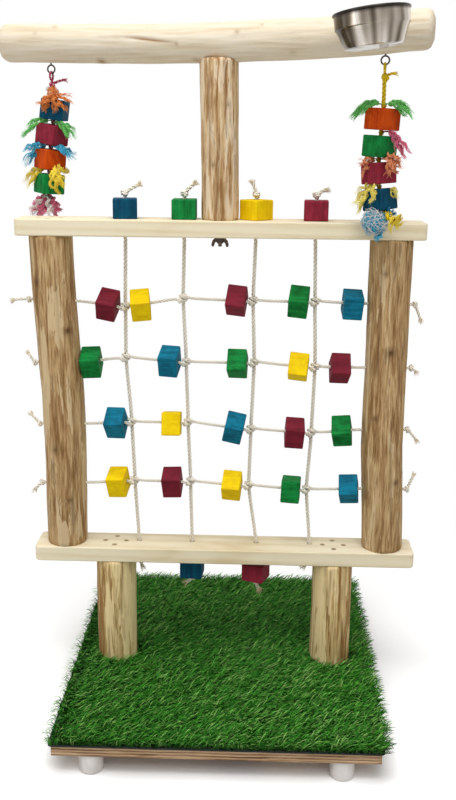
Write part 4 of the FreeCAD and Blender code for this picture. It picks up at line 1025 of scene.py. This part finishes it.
# logs, in mm and radians: shares are place along, drift, swell; knots are place, angle, size, height
# cracks are from, to, angle, slope, depth
logPieces = {
    "legLeft": {
        "node": "leg_left", "body": "stand", "finish": "leg", "slot": "leg_log",
        "start": (-166.6, -16, 53), "end": (-166.6, -16, 246), "radius": 34.2,
        "shares": [(0, 0, 0), (0.5, -0.5, -0.6), (1, 0, -0.4)], "edge": 1.5, "seed": 3,
        "knots": [(0.3, 1.4, 7, -0.8)], "cracks": [(0.45, 1.0, -1.2, 0.1, 0.8), (0.0, 0.4, -1.9, 0, 0.6)],
    },
    "legRight": {
        "node": "leg_right", "body": "stand", "finish": "leg", "slot": "leg_log",
        "start": (205.4, -16, 53), "end": (205.4, -16, 246), "radius": 34.2,
        "shares": [(0, 0, 0), (0.5, 0.5, -0.6), (1, 0, -0.4)], "edge": 1.5, "seed": 8,
        "knots": [(0.7, 1.2, 8, 0.9)], "cracks": [(0.0, 0.5, -1.0, 0, 0.9), (0.45, 1.0, -1.8, 0.1, 0.7)],
    },
    "uprightLeft": {
        "node": "upright_left", "body": "stand", "finish": "bark", "slot": "bark_log",
        "start": (-249.6, -16, 272), "end": (-260.4, -16, 792), "radius": 34.5,
        "shares": [(0, 0, -2), (0.15, 2.4, -1), (0.35, 6, 0.3), (0.5, 5.8, 0.5), (0.7, 3, 0.2),
                   (0.85, 0.6, 0), (1, 0, 0)],
        "edge": 1.5, "seed": 12,
        "knots": [(0.712, -0.9, 10, 1.8), (0.33, -1.9, 10, 1.0), (0.16, -1.2, 7, -0.9),
                  (0.86, -2.2, 9, 1.1)],
        "cracks": [(0.1, 0.42, -2.0, 0, 0.5), (0.5, 0.93, -1.35, 0.1, 0.3), (0.2, 0.5, -0.9, 0, 0.4)],
    },
    "uprightRight": {
        "node": "upright_right", "body": "stand", "finish": "bark", "slot": "bark_log",
        "start": (288.4, -16, 272), "end": (277.6, -16, 792), "radius": 34.0,
        "shares": [(0, 0, 0.4), (0.15, -1.6, 0), (0.35, -5.3, 0.2), (0.5, -3.7, 0), (0.7, -1.6, -0.3),
                   (0.85, -0.8, 0), (1, 0, 0.2)],
        "edge": 1.5, "seed": 29,
        "knots": [(0.66, -1.5, 11, 1.5), (0.45, -2.1, 9, 1.0), (0.24, -1.0, 8, 1.2), (0.9, -1.9, 8, -0.8)],
        "cracks": [(0.05, 0.5, -1.25, 0, 0.6), (0.55, 0.98, -2.1, 0, 0.7), (0.5, 0.7, -1.0, 0.1, 0.6)],
    },
    "centrePost": {
        "node": "centre_post", "body": "play_arm", "finish": "post", "slot": "bark_log",
        "start": (8.6, -16, 818.2), "end": (5.08, -15.25, 1057), "radius": 29.25,
        "shares": [(0, 0, 0), (0.2, 0.5, 0), (0.6, 0.35, -0.8), (1, 0, 0)], "edge": 1.5, "seed": 41,
        "knots": [(0.35, -1.9, 7, 0.9), (0.72, -1.1, 8, 0.8)],
        "cracks": [(0.0, 0.55, -1.7, 0.1, 0.7), (0.5, 1.0, -1.2, 0, 0.6), (0.3, 0.9, -2.1, 0, 0.6)],
    },
}


# frequency round the log, frequency along it and height in mm of each kind of unevenness
unevenness = {"broad": (1.3, 6, 1.1), "facet": (3.2, 9, -1.5), "ridge": (14, 22, 0.35), "level": 0.35}
knotForm = {"widest": 2.4, "hollow": (0.55, 2.6), "height": 0.6, "scar": (0.75, 1.7),
            "halo": (0.8, 3.6, 0.3)}
# a crack's painted shade grows with its depth
crackForm = {"wander": (0.05, 12), "fade": 0.06, "halfWidth": 1.9, "scarAndShade": 0.85}


def unevenAt(seed, angle, place):
    spot = Vector((math.cos(angle), math.sin(angle), 0))
    across, along, height = unevenness["broad"]
    broad = noise.noise(spot * across + Vector((seed, 0, place * along))) * height
    across, along, height = unevenness["facet"]
    facet = abs(noise.noise(spot * across + Vector((0, seed, place * along)))) * height
    across, along, height = unevenness["ridge"]
    ridge = noise.noise(spot * across + Vector((seed, seed, place * along))) * height
    return (broad + facet + ridge + unevenness["level"]) / 1000


def markedAt(look, swell, angle, share, girth, length):
    # adds knots and drying cracks to the swell, and says how dark the spot is: a knot's own scar, and painted shade
    # along a crack, darker the deeper it is
    scarAndShade = 0.0
    for knotShare, knotAngle, size, height in look["knots"]:
        around = shortWay(angle - knotAngle)
        away = math.hypot(around * girth * 1000, (share - knotShare) * length * 1000) / size
        if away < knotForm["widest"]:
            depth, tightness = knotForm["hollow"]
            bump = math.exp(-away * away) - depth * math.exp(-(away * tightness) ** 2)
            swell += knotForm["height"] * height * bump / 1000
            haloAway, haloTightness, haloShare = knotForm["halo"]
            halo = math.exp(-((away - haloAway) * haloTightness) ** 2)
            mark = min(1.0, knotForm["scar"][0] * abs(height))
            scarAndShade = max(scarAndShade, mark * math.exp(-(away * knotForm["scar"][1]) ** 2), haloShare * mark * halo)
    for low, high, crackAngle, slope, depth in look["cracks"]:
        if low < share < high:
            reach, pace = crackForm["wander"]
            wander = reach * noise.noise(Vector((look["seed"], share * length * pace, 3)))
            lean = crackAngle + slope * (share - low) / (high - low)
            around = shortWay(angle - lean - wander)
            fade = min(1.0, (share - low) / crackForm["fade"], (high - share) / crackForm["fade"])
            line = math.exp(-(around * girth * 1000 / crackForm["halfWidth"]) ** 2)
            swell -= depth * fade * line / 1000
            # painted shade along the crack
            scarAndShade = max(scarAndShade, min(1.0, crackForm["scarAndShade"] * depth) * fade * line)
    return swell, scarAndShade


def closeEnd(mesh, row, middle):                # two shrinking rings and a hub
    inner = row
    for shrink in (0.7, 0.35 / 0.7):
        fresh = [mesh.verts.new(middle + (v.co - middle) * shrink) for v in inner]
        bridge(mesh, inner, fresh)
        inner = fresh
    hub = mesh.verts.new(middle)
    for step, vert in enumerate(inner):
        mesh.faces.new((vert, inner[(step + 1) % len(inner)], hub))


def logSurface(look, rings, sides, centreAt, radiusAt, side, front, length):
    # rings of points round a drifting middle, with ridges, worn knots and drying cracks
    mesh = bmesh.new()
    worn = mesh.verts.layers.float.new("worn")
    rows = []
    edge = look["edge"] / 1000
    for ring in range(rings + 1):
        share = ring / rings
        place = share * length
        toEnd = min(place, length - place)
        shy = 0.0
        if toEnd < edge:
            shy = edge - math.sqrt(max(0.0, edge * edge - (edge - toEnd) ** 2))
        middle, girth = centreAt(share), radiusAt(share)
        row = []
        for angle in ringAngles(sides):
            out = side * math.cos(angle) + front * math.sin(angle)
            swell, scarAndShade = markedAt(look, unevenAt(look["seed"], angle, place), angle, share, girth, length)
            vert = mesh.verts.new(middle + out * (girth + swell * (1 if toEnd > edge else 0.6) - shy))
            vert[worn] = scarAndShade
            row.append(vert)
        rows.append(row)
    for low, high in zip(rows, rows[1:]):
        bridge(mesh, low, high)
    closeEnd(mesh, rows[0], centreAt(0.0))
    closeEnd(mesh, rows[-1], centreAt(1.0))
    bmesh.ops.recalc_face_normals(mesh, faces=mesh.faces)
    return mesh


def makeLog(name):
    look = logPieces[name]
    start, end = mm(*look["start"]), mm(*look["end"])
    shares = [row[0] for row in look["shares"]]
    drifts = [row[1] / 1000 for row in look["shares"]]
    swells = [row[2] / 2000 for row in look["shares"]]
    sideways = Vector((1, 0, 0))

    def centreAt(share):
        return start.lerp(end, share) + sideways * between(shares, drifts, share)

    def radiusAt(share):
        return look["radius"] / 1000 + between(shares, swells, share)

    length = (end - start).length
    mesh = logSurface(look, round(length / 0.004), 84, centreAt, radiusAt, sideways, Vector((0, 1, 0)),
                      length)
    made = newObject(name, meshFrom(mesh, name), look["body"], look["finish"], slot=look["slot"])
    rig.replaces(made, look["node"])


for name in logPieces:
    makeLog(name)

perchLog = {
    "left": -357, "right": 313, "height": 1079.35, "edge": 13, "seed": 55,
    "rises": [(-357, 4), (-321, 3.4), (-214, 1), (-107, 0), (0, 0), (59.5, 2.0), (147, 4.5), (219, 8.5),
              (282, 14), (313, 15.5)],
    "radii": [(-357, 28.5), (0, 28.75), (313, 28)],
    "knots": [(0.254, 4.3, 9, 2.0), (0.145, 2.2, 5, 0.8), (0.577, 2.7, 5, 0.8), (0.63, 2.3, 4, 0.6),
              (0.10, 2.7, 4, 0.5), (0.48, 4.2, 8, 0.7), (0.44, 3.25, 4, 0.9), (0.70, 3.9, 6, 0.4),
              (0.30, 0.8, 9, 1.2)],
    "cracks": [(0.30, 0.45, 2.82, 0.42, 1.2), (0.305, 0.40, 2.74, 0.36, 0.6), (0.66, 0.80, 3.5, 0.1, 0.25)],
}


def makePerch():
    look = perchLog
    length = (look["right"] - look["left"]) / 1000
    along = [place for place, rise in look["rises"]]
    rises = [rise for place, rise in look["rises"]]

    def placeOf(share):
        return look["left"] + share * length * 1000

    def centreAt(share):
        place = placeOf(share)
        return onArm(place, 0, look["height"] + between(along, rises, place))

    def radiusAt(share):
        return between([p for p, r in look["radii"]], [r for p, r in look["radii"]], placeOf(share)) / 1000

    turn = armMatrix.to_3x3()
    side, front = turn @ Vector((0, 1, 0)), Vector((0, 0, 1))
    mesh = logSurface(look, 168, 88, centreAt, radiusAt, side, front, length)
    made = newObject("perchLog", meshFrom(mesh, "perchLog"), "play_arm", "perch", slot="perch_log")
    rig.replaces(made, "perch")


makePerch()
print("logs made")


# turf: a flat backing cut round the legs, and blades sown on it in two halves
turf = {"low": (-240, -295, 53), "high": (276, 295, 56.5), "corner": 10,
        "legs": ((-166.6, -16), (205.4, -16)),
        "legRadius": 35.2, "blades": 62000, "area": 0.29, "bladeLength": 0.0215, "bladeWidth": 0.0016,
        "middle": -2, "leanLow": (-0.2, 0.15, -1.5), "leanHigh": (0.5, 0.95, 1.0), "grow": (0.72, 1.12),
        "edge": {"start": 0.239, "slope": -40, "turn": -1.25}, "backingInset": 3.5, "bladeInset": 2.0}


def turfOutline(mesh, height, inset):
    left, front, _ = turf["low"]
    right, back, _ = turf["high"]
    corner = turf["corner"]
    loops = []
    border = []
    corners = ((right - corner, back - corner, 0), (left + corner, back - corner, 90),
               (left + corner, front + corner, 180), (right - corner, front + corner, 270))
    for cornerX, cornerY, start in corners:
        for step in range(7):
            angle = math.radians(start + step * 15)
            border.append((cornerX + (corner - inset) * math.cos(angle),
                           cornerY + (corner - inset) * math.sin(angle)))
    loops.append(border)
    for x, y in turf["legs"]:
        loops.append([(x + turf["legRadius"] * math.cos(a), y + turf["legRadius"] * math.sin(a))
                      for a in ringAngles(40)])
    edges = []
    for loop in loops:
        verts = [mesh.verts.new(mm(x, y, height)) for x, y in loop]
        edges += [mesh.edges.new(pair) for pair in zip(verts, verts[1:] + verts[:1])]
    return edges


def makeBacking():
    mesh = bmesh.new()
    edges = turfOutline(mesh, turf["low"][2], turf["backingInset"])
    filled = bmesh.ops.triangle_fill(mesh, edges=edges, use_beauty=True, use_dissolve=False)
    faces = [item for item in filled["geom"] if isinstance(item, bmesh.types.BMFace)]
    raised = bmesh.ops.extrude_face_region(mesh, geom=faces)
    up = [item for item in raised["geom"] if isinstance(item, bmesh.types.BMVert)]
    bmesh.ops.translate(mesh, verts=up, vec=(0, 0, (turf["high"][2] - turf["low"][2]) / 1000))
    bmesh.ops.recalc_face_normals(mesh, faces=mesh.faces)
    made = newObject("turfBacking", meshFrom(mesh, "turfBacking", False), "stand", "backing", slot="turf")
    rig.replaces(made, "turf_mat")


def bladeMesh():
    mesh = bmesh.new()
    length, half = turf["bladeLength"], turf["bladeWidth"] / 2
    rows = []
    for share, width, lean in ((0, 0.9, 0), (0.4, 1.0, 0.07), (0.75, 0.75, 0.26)):
        x = lean * length
        rows.append([mesh.verts.new((x, -half * width, length * share)),
                     mesh.verts.new((x, half * width, length * share))])
    tip = mesh.verts.new((0.5 * length, 0, length * 0.95))
    for low, high in zip(rows, rows[1:]):
        mesh.faces.new((low[0], low[1], high[1], high[0]))
    mesh.faces.new((rows[-1][0], rows[-1][1], tip))
    return linked("blade", meshFrom(mesh, "blade", False))


def turfTree(blade):
    graph, start = newTree("turfSowing", ("Count", "Int", 1000), ("Seed", "Int", 1),
                           ("Limit", "Float", 0.295))
    points = graph.node("GeometryNodeDistributePointsOnFaces", {"distribute_method": "RANDOM"}, {
        "Mesh": start.other("Geometry"), "Density": start.other("Count") / turf["area"],
        "Seed": start.other("Seed")}, "Points")
    shape = graph.node("GeometryNodeObjectInfo", {}, {"Object": blade}, "Geometry")
    lean = graph.node("FunctionNodeRandomValue", {"data_type": "FLOAT_VECTOR"}, {
        "Min": turf["leanLow"], "Max": turf["leanHigh"], "Seed": start.other("Seed")}, "Value")
    across = graph.apart(graph.node("GeometryNodeInputPosition"), "X")
    edge = turf["edge"]
    toEdge = ((across + edge["start"]) * edge["slope"] + 1).held()
    outward = graph.node("ShaderNodeCombineXYZ", {}, {"Z": toEdge * edge["turn"]})
    lean = graph.node("ShaderNodeVectorMath", {"operation": "ADD"}, {0: lean, 1: outward})
    small, large = turf["grow"]
    grow = graph.node("FunctionNodeRandomValue", {"data_type": "FLOAT"}, {2: small, 3: large, "Seed": 5}, 1)
    stood = graph.node("GeometryNodeInstanceOnPoints", {}, {
        "Points": points, "Instance": shape, "Rotation": lean, "Scale": grow})
    kind = graph.node("FunctionNodeRandomValue", {"data_type": "FLOAT"}, {2: 0.0, 3: 1.0, "Seed": 11}, 1)
    marked = graph.node("GeometryNodeStoreNamedAttribute", {"data_type": "FLOAT", "domain": "INSTANCE"}, {
        "Geometry": stood, "Name": "bladeKind", "Value": kind})
    real = graph.node("GeometryNodeRealizeInstances", {}, {"Geometry": marked})
    place = graph.node("GeometryNodeInputPosition")
    parts = graph.apart(place, "X")
    limit = start.other("Limit")
    kept = place.math("MINIMUM", place.math("MAXIMUM", parts.other("Y"), limit * -1.0), limit)
    moved = graph.node("ShaderNodeCombineXYZ", {}, {"X": parts, "Y": kept, "Z": parts.other("Z")})
    held = graph.node("GeometryNodeSetPosition", {}, {"Geometry": real, "Position": moved})
    return closeTree(graph, held, "turf")


def makeTurf():
    blade = bladeMesh()
    tree = turfTree(blade)
    for number, (name, outward) in enumerate((("turfFront", 1), ("turfBack", -1))):
        mesh = bmesh.new()
        edges = turfOutline(mesh, turf["high"][2] - 1, turf["bladeInset"])
        bmesh.ops.triangle_fill(mesh, edges=edges, use_beauty=True, use_dissolve=False)
        geometry = mesh.verts[:] + mesh.edges[:] + mesh.faces[:]
        bmesh.ops.bisect_plane(mesh, geom=geometry, plane_co=mm(0, turf["middle"], 0),
                               plane_no=(0, outward, 0), clear_outer=True)
        for face in mesh.faces:
            if face.normal.z < 0:
                face.normal_flip()
        patch = newObject(f"turfPatch{number}", meshFrom(mesh, f"turfPatch{number}", False), None)
        setInputs(patch, tree, {"Count": turf["blades"], "Seed": 3 + number})
        blades = baked(patch, name, "stand", "turf")
        print("turf blades", len(blades.data.polygons))
    bpy.data.objects.remove(blade)


makeBacking()
makeTurf()
print("turf sown")


# net ropes: places in mm, x and z at each knot, hitch and log
net = {
    # drawn a little thicker than the 6.0 and 4.8 mm ropes, as the strands lie inside their round
    "uprightY": -12.9, "rowY": -19.1, "upright": 6.0 / 920, "row": 4.8 / 900,
    "uprightLay": 0.020, "rowLay": 0.0165,
    # back from the end, length, spread, count, droop and gather of a frayed end
    "uprightFray": (0.35, 0.012, 0.55, 34, 0.1, 0.0022), "rowFray": (0.3, 0.011, 0.5, 30, 0.15, 0.0018),
    "lump": 0.0031, "lumps": ((-4.5, -7.0, -3.2), (4.0, -7.4, 3.4)),
    "tops": (-141.4, -47.9, 65.1, 158.6), "bottoms": (-126.6, -35.6, 74.4, 165.4),
    "topKnot": 857, "legKnot": 240.2, "underKnots": {1: 204.7, 2: 199.7},
    "topTails": ((22, 13), (15.5, 15.5), (-6, 17), (13, 8)),
    "bottomTails": ((4, -16), (-9, -9), (5, -13), (-7, -10)),
    "rows": (
        ((-298.6, 688.5), (-222.6, 688.5), (-143.5, 678.5), (-50.1, 692.5), (62.3, 690.5), (161.5, 690.5),
         (244.9, 688.5), (319.8, 688.5)),
        ((-293.3, 584.5), (-216.9, 584.5), (-144.2, 594.5), (-45.4, 588.5), (65.7, 589.5), (164.8, 583.5),
         (245.7, 584.5), (320.5, 584.5)),
        ((-289.6, 480.5), (-213.1, 480.5), (-136.2, 485.5), (-42.4, 486.5), (62.1, 476.5), (162.4, 472.5),
         (245.0, 480.5), (320.2, 480.5)),
        ((-289.6, 376.5), (-214.1, 376.5), (-132.5, 382.5), (-38.4, 382.5), (59.8, 377.5), (157.2, 372.5),
         (249.3, 376.5), (324.4, 376.5)),
    ),
    "leftTails": ((-31, -2), (-12, 18), (-16, 19), (-14, -15)),
    "rightTails": ((13, -31), (8, -6), (19, -22), (13, 32)),
}
# the row's rope goes round the upright one: along, depth from the upright rope, up
hitchRoute = ((-13, -6.0, 0), (-7, -7.0, -2.2), (-1, -6.6, -3.4), (5.2, -3.4, -3.4), (4.4, 4.6, -1.8),
              (-3.4, 5.2, 1.6), (-6.0, -2.4, 3.6), (-1.2, -7.6, 4.2), (5.2, -7.4, 3.0), (12, -6.2, 0.6))


def addTail(routes, frays, knot, across, up, sag, fray, seed):
    end = knot + mm(across, 0, up)
    bend = (knot + end) / 2 + sag
    routes.append([knot, bend, end])
    back, length, spread, count, droop, gather = fray
    away = end - bend
    frays.extend(spray(end - away * back, away, length, spread, count, droop, 0.08, seed, gather))


def makeUprightRopes():
    routes, frays = [], []
    pick = random.Random(4)
    depth = net["uprightY"]
    for rope in range(4):
        top, bottom = net["tops"][rope], net["bottoms"][rope]
        high = mm(top, depth, net["topKnot"])
        low = mm(bottom, depth, net["underKnots"].get(rope, net["legKnot"]))
        route = [high, mm(top, depth, 830), mm(top, depth, 792)]
        for row in net["rows"]:
            x, z = row[rope + 2]
            route += [mm(x, depth, z + 9), mm(x, depth, z - 9)]
        route += [mm(bottom, depth, 276), mm(bottom, depth, 250), low]
        routes.append(route)
        routes.append(overhand(high, 0.0046, (0.3, 0.2, 1), pick.uniform(0, 3)))
        lowSize = 0.0042 if rope in net["underKnots"] else 0.0028
        routes.append(overhand(low, lowSize, (0.2, 0.4, 1), pick.uniform(0, 3)))
        for knot, (across, up) in ((high, net["topTails"][rope]), (low, net["bottomTails"][rope])):
            sag, key = (mm(0, -2, 2), 1) if up > 0 else (mm(0, -2, -1), 2)
            addTail(routes, frays, knot, across, up, sag, net["uprightFray"], rope * 3 + key)
    made = twistedRope("uprightRopes", routes, net["upright"], net["uprightLay"], "rope", "stand", "rope")
    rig.replaces(made, "vertical_ropes")
    fibres("uprightRopeFrays", frays, 0.0004, "fray", "stand", "rope")


def makeRowRopes():
    routes, frays = [], []
    pick = random.Random(9)
    for number, row in enumerate(net["rows"]):
        ends = [mm(x, net["rowY"], z) for x, z in (row[0], row[1], row[-2], row[-1])]
        route = ends[:2]
        for x, z in row[2:6]:
            route += [mm(x + along, net["uprightY"] + depth, z + up) for along, depth, up in hitchRoute]
            for along, depth, up in net["lumps"]:   # low on the left of a hitch, high on its right
                lump = mm(x + along, net["uprightY"] + depth, z + up)
                routes.append(overhand(lump, net["lump"], (0.6, 0.8, 0.4), pick.uniform(0, 3)))
        route += ends[2:]
        routes.append(route)
        tails = ((ends[0], net["leftTails"][number], 1), (ends[-1], net["rightTails"][number], 2))
        for knot, (across, up), key in tails:
            routes.append(overhand(knot, 0.0044, (1, 0.3, 0.2), pick.uniform(0, 3)))
            addTail(routes, frays, knot, across * 0.8, up * 0.8, mm(0, -3, 2), net["rowFray"],
                    number * 5 + key)
    made = twistedRope("rowRopes", routes, net["row"], net["rowLay"], "rope", "stand", "rope")
    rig.replaces(made, "horizontal_ropes")
    fibres("rowRopeFrays", frays, 0.00035, "fray", "stand", "rope")


makeUprightRopes()
makeRowRopes()
print("net roped")


# bowl, in mm and degrees from the screw that it tilts on
bowlShape = {
    "place": 232, "height": 1096.2, "axis": -80.4, "screwUp": 32.5, "tilt": -7.5, "steps": 112,
    # radius and height of the sheet's middle line, from the centre of the bottom to the rim
    "line": ((0, 0.4), (20, 0.4), (37.5, 0.45), (39.8, 1.2), (41.2, 3.0), (44.0, 11.0), (47.2, 19.5),
             (49.6, 25.0), (50.6, 25.9), (51.5, 26.8), (51.6, 32), (51.6, 40), (51.6, 44.2)),
    "bead": (52.0, 46.0, 1.95), "thickness": 0.8, "sharp": math.radians(26),
    "rimFrom": (0.0435, 0.0500), "bottomRadius": 0.036,
}


def makeBowl():
    look = bowlShape
    mesh = bmesh.new()
    band = mesh.verts.layers.float.new("band")
    darkRimReflection = mesh.verts.layers.float.new("rim")
    outside, inside = [], []
    line = [Vector((r, z)) for r, z in look["line"]]
    for number, point in enumerate(line):
        before, after = line[max(0, number - 1)], line[min(len(line) - 1, number + 1)]
        way = (after - before).normalized()
        normal = Vector((way.y, -way.x)) * look["thickness"] / 2
        outside.append(point + normal)
        inside.append(point - normal)
    outside[0].x = inside[0].x = 0
    beadR, beadZ, bead = look["bead"]
    rim = [Vector((beadR + bead * math.cos(a), beadZ + bead * math.sin(a)))
           for a in (math.radians(-80 + step * 320 / 15) for step in range(15))]
    profile = outside + rim + inside[::-1]
    verts = [mesh.verts.new((p.x / 1000, 0, p.y / 1000)) for p in profile]
    edges = [mesh.edges.new(pair) for pair in zip(verts, verts[1:])]
    lathe(mesh, verts, edges, look["steps"])
    # painted reflections: bands round the axis, plainer on the flat bottom, and a mark on the rolled rim for a dark
    # reflection
    for vert in mesh.verts:
        around = Vector((vert.co.x, vert.co.y, 0)).normalized()
        wide = noise.noise(around * 2.1 + Vector((3, 1, vert.co.z * 9)))
        narrow = noise.noise(around * 6.3 + Vector((1, 5, vert.co.z * 14)))
        turned = min(1.0, vert.co.xy.length / look["bottomRadius"]) ** 2
        vert[band] = min(1.0, max(0.0, 0.50 + turned * (0.85 * wide + 0.5 * narrow) + 0.2 * (1 - turned)))
        rimHeight, rimRadius = look["rimFrom"]
        vert[darkRimReflection] = 1.0 if vert.co.z > rimHeight and vert.co.xy.length > rimRadius else 0.0
    tilt = Matrix.Translation(mm(look["place"], 0, look["height"])) @ Matrix.Rotation(
        math.radians(look["tilt"]), 4, "Y")
    mesh.transform(armMatrix @ tilt @ Matrix.Translation(mm(0, look["axis"], -look["screwUp"])))
    made = newObject("steelBowl", meshFrom(mesh, "steelBowl"), "bowl", "stainless", slot="stainless")
    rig.replaces(made, "bowl")
    made.data.set_sharp_from_angle(angle=look["sharp"])


makeBowl()


# screw heads
screwHeads = {
    "recess": 0.4, "circle": 18, "depth": -16, "sides": 24,
    "rings": ((2.25, -6), (2.25, -2.3), (4.5, -0.3), (4.45, 0.0)), "cross": (2.3, 0.8), "floor": (0.7, -1.3),
    # x, z and which way each group of four points
    "groups": ((-166.6, 272, 1), (205.4, 272, 1), (-166.6, 35, -1), (205.4, 35, -1), (-249.6, 246, -1),
               (288.4, 246, -1), (-260.4, 818, 1), (277.6, 818, 1)),
}


def screwPattern():
    mesh = bmesh.new()
    angles = ringAngles(screwHeads["sides"])
    rings = [[mesh.verts.new(mm(radius * math.cos(a), radius * math.sin(a), height)) for a in angles]
             for radius, height in screwHeads["rings"]]
    for low, high in zip(rings, rings[1:]):
        bridge(mesh, low, high)
    arm, gap = screwHeads["cross"]
    cross = []
    for step, angle in enumerate(angles):       # a cross recess in the head
        reach = arm if step % 6 in (0, 1, 5) else gap
        cross.append(mesh.verts.new(mm(reach * math.cos(angle), reach * math.sin(angle), -0.05)))
    shrink, deep = screwHeads["floor"]
    floorRing = [mesh.verts.new(v.co * shrink + mm(0, 0, deep)) for v in cross]
    bridge(mesh, rings[-1], cross)
    bridge(mesh, cross, floorRing)
    mesh.faces.new(floorRing)
    mesh.faces.new(rings[0][::-1])
    bmesh.ops.recalc_face_normals(mesh, faces=mesh.faces)
    return linked("screwPattern", meshFrom(mesh, "screwPattern", False))


def screwTree(pattern):
    graph, start = newTree("screwDriving", ("Seed", "Int", 1))
    up = graph.node("GeometryNodeInputNamedAttribute", {"data_type": "FLOAT_VECTOR"}, {"Name": "driven"},
                    "Attribute")
    aimed = graph.node("FunctionNodeAlignRotationToVector", {"axis": "Z"}, {"Vector": up})
    spin = graph.node("FunctionNodeRandomValue", {"data_type": "FLOAT"},
                      {2: 0.0, 3: 6.28, "Seed": start.other("Seed")}, 1)
    turned = graph.node("ShaderNodeCombineXYZ", {}, {"Z": spin})
    local = graph.node("FunctionNodeRotateRotation", {"rotation_space": "LOCAL"},
                       {"Rotation": aimed, "Rotate By": turned})
    shape = graph.node("GeometryNodeObjectInfo", {}, {"Object": pattern}, "Geometry")
    stood = graph.node("GeometryNodeInstanceOnPoints", {}, {
        "Points": start.other("Geometry"), "Instance": shape, "Rotation": local})
    return closeTree(graph, stood, "yellowZinc")


def makeScrews():
    places = []
    circle = screwHeads["circle"]
    for x, z, up in screwHeads["groups"]:
        for across, along in ((circle, 0), (-circle, 0), (0, circle), (0, -circle)):
            places.append(((x + across, screwHeads["depth"] + along, z - up * screwHeads["recess"]), up))
    mesh = bpy.data.meshes.new("screwPlaces")
    mesh.from_pydata([mm(*place) for place, up in places], [], [])
    driven = mesh.attributes.new("driven", "FLOAT_VECTOR", "POINT")
    driven.data.foreach_set("vector", [c for place, up in places for c in (0.0, 0.0, float(up))])
    source = newObject("screwPlaces", mesh, None)
    pattern = screwPattern()
    setInputs(source, screwTree(pattern), {"Seed": 6})
    made = baked(source, "woodScrewHeads", "stand", "zinc_steel")
    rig.replaces(made, "wood_screws")
    bpy.data.objects.remove(pattern)


makeScrews()
print("bowl and screws made")


# finishes of the pieces that are shown as they are
cadFinishes = {
    "base_board": "plywood", "feet": "plastic", "foot_screws": "zincSteel", "lower_plank": "pine",
    "upper_plank": "pine", "perch_screw": "zincSteel", "bowl_screw": "zincSteel", "hanger_bolt": "zincSteel",
    "washer": "zincSteel", "wing_nut": "darkWire", "screw_eyes": "darkWire",
}
for name, piece in frame["nodes"].items():
    finish = cadFinishes.get(name)
    if "block" in name:
        colour = name.rsplit("_", 1)[1]
        finish = colour if name.startswith("net") else f"{colour}Stood"
    if finish:
        if not piece.material_slots:
            piece.data.materials.append(finishes[finish])
        for holder in piece.material_slots:
            holder.material = finishes[finish]

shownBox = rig.bounds()
with open("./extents.json", "w") as note:
    json.dump({"cad": [list(c) for c in cadBox], "visual": [list(c) for c in shownBox]}, note)
print("play stand dressed")
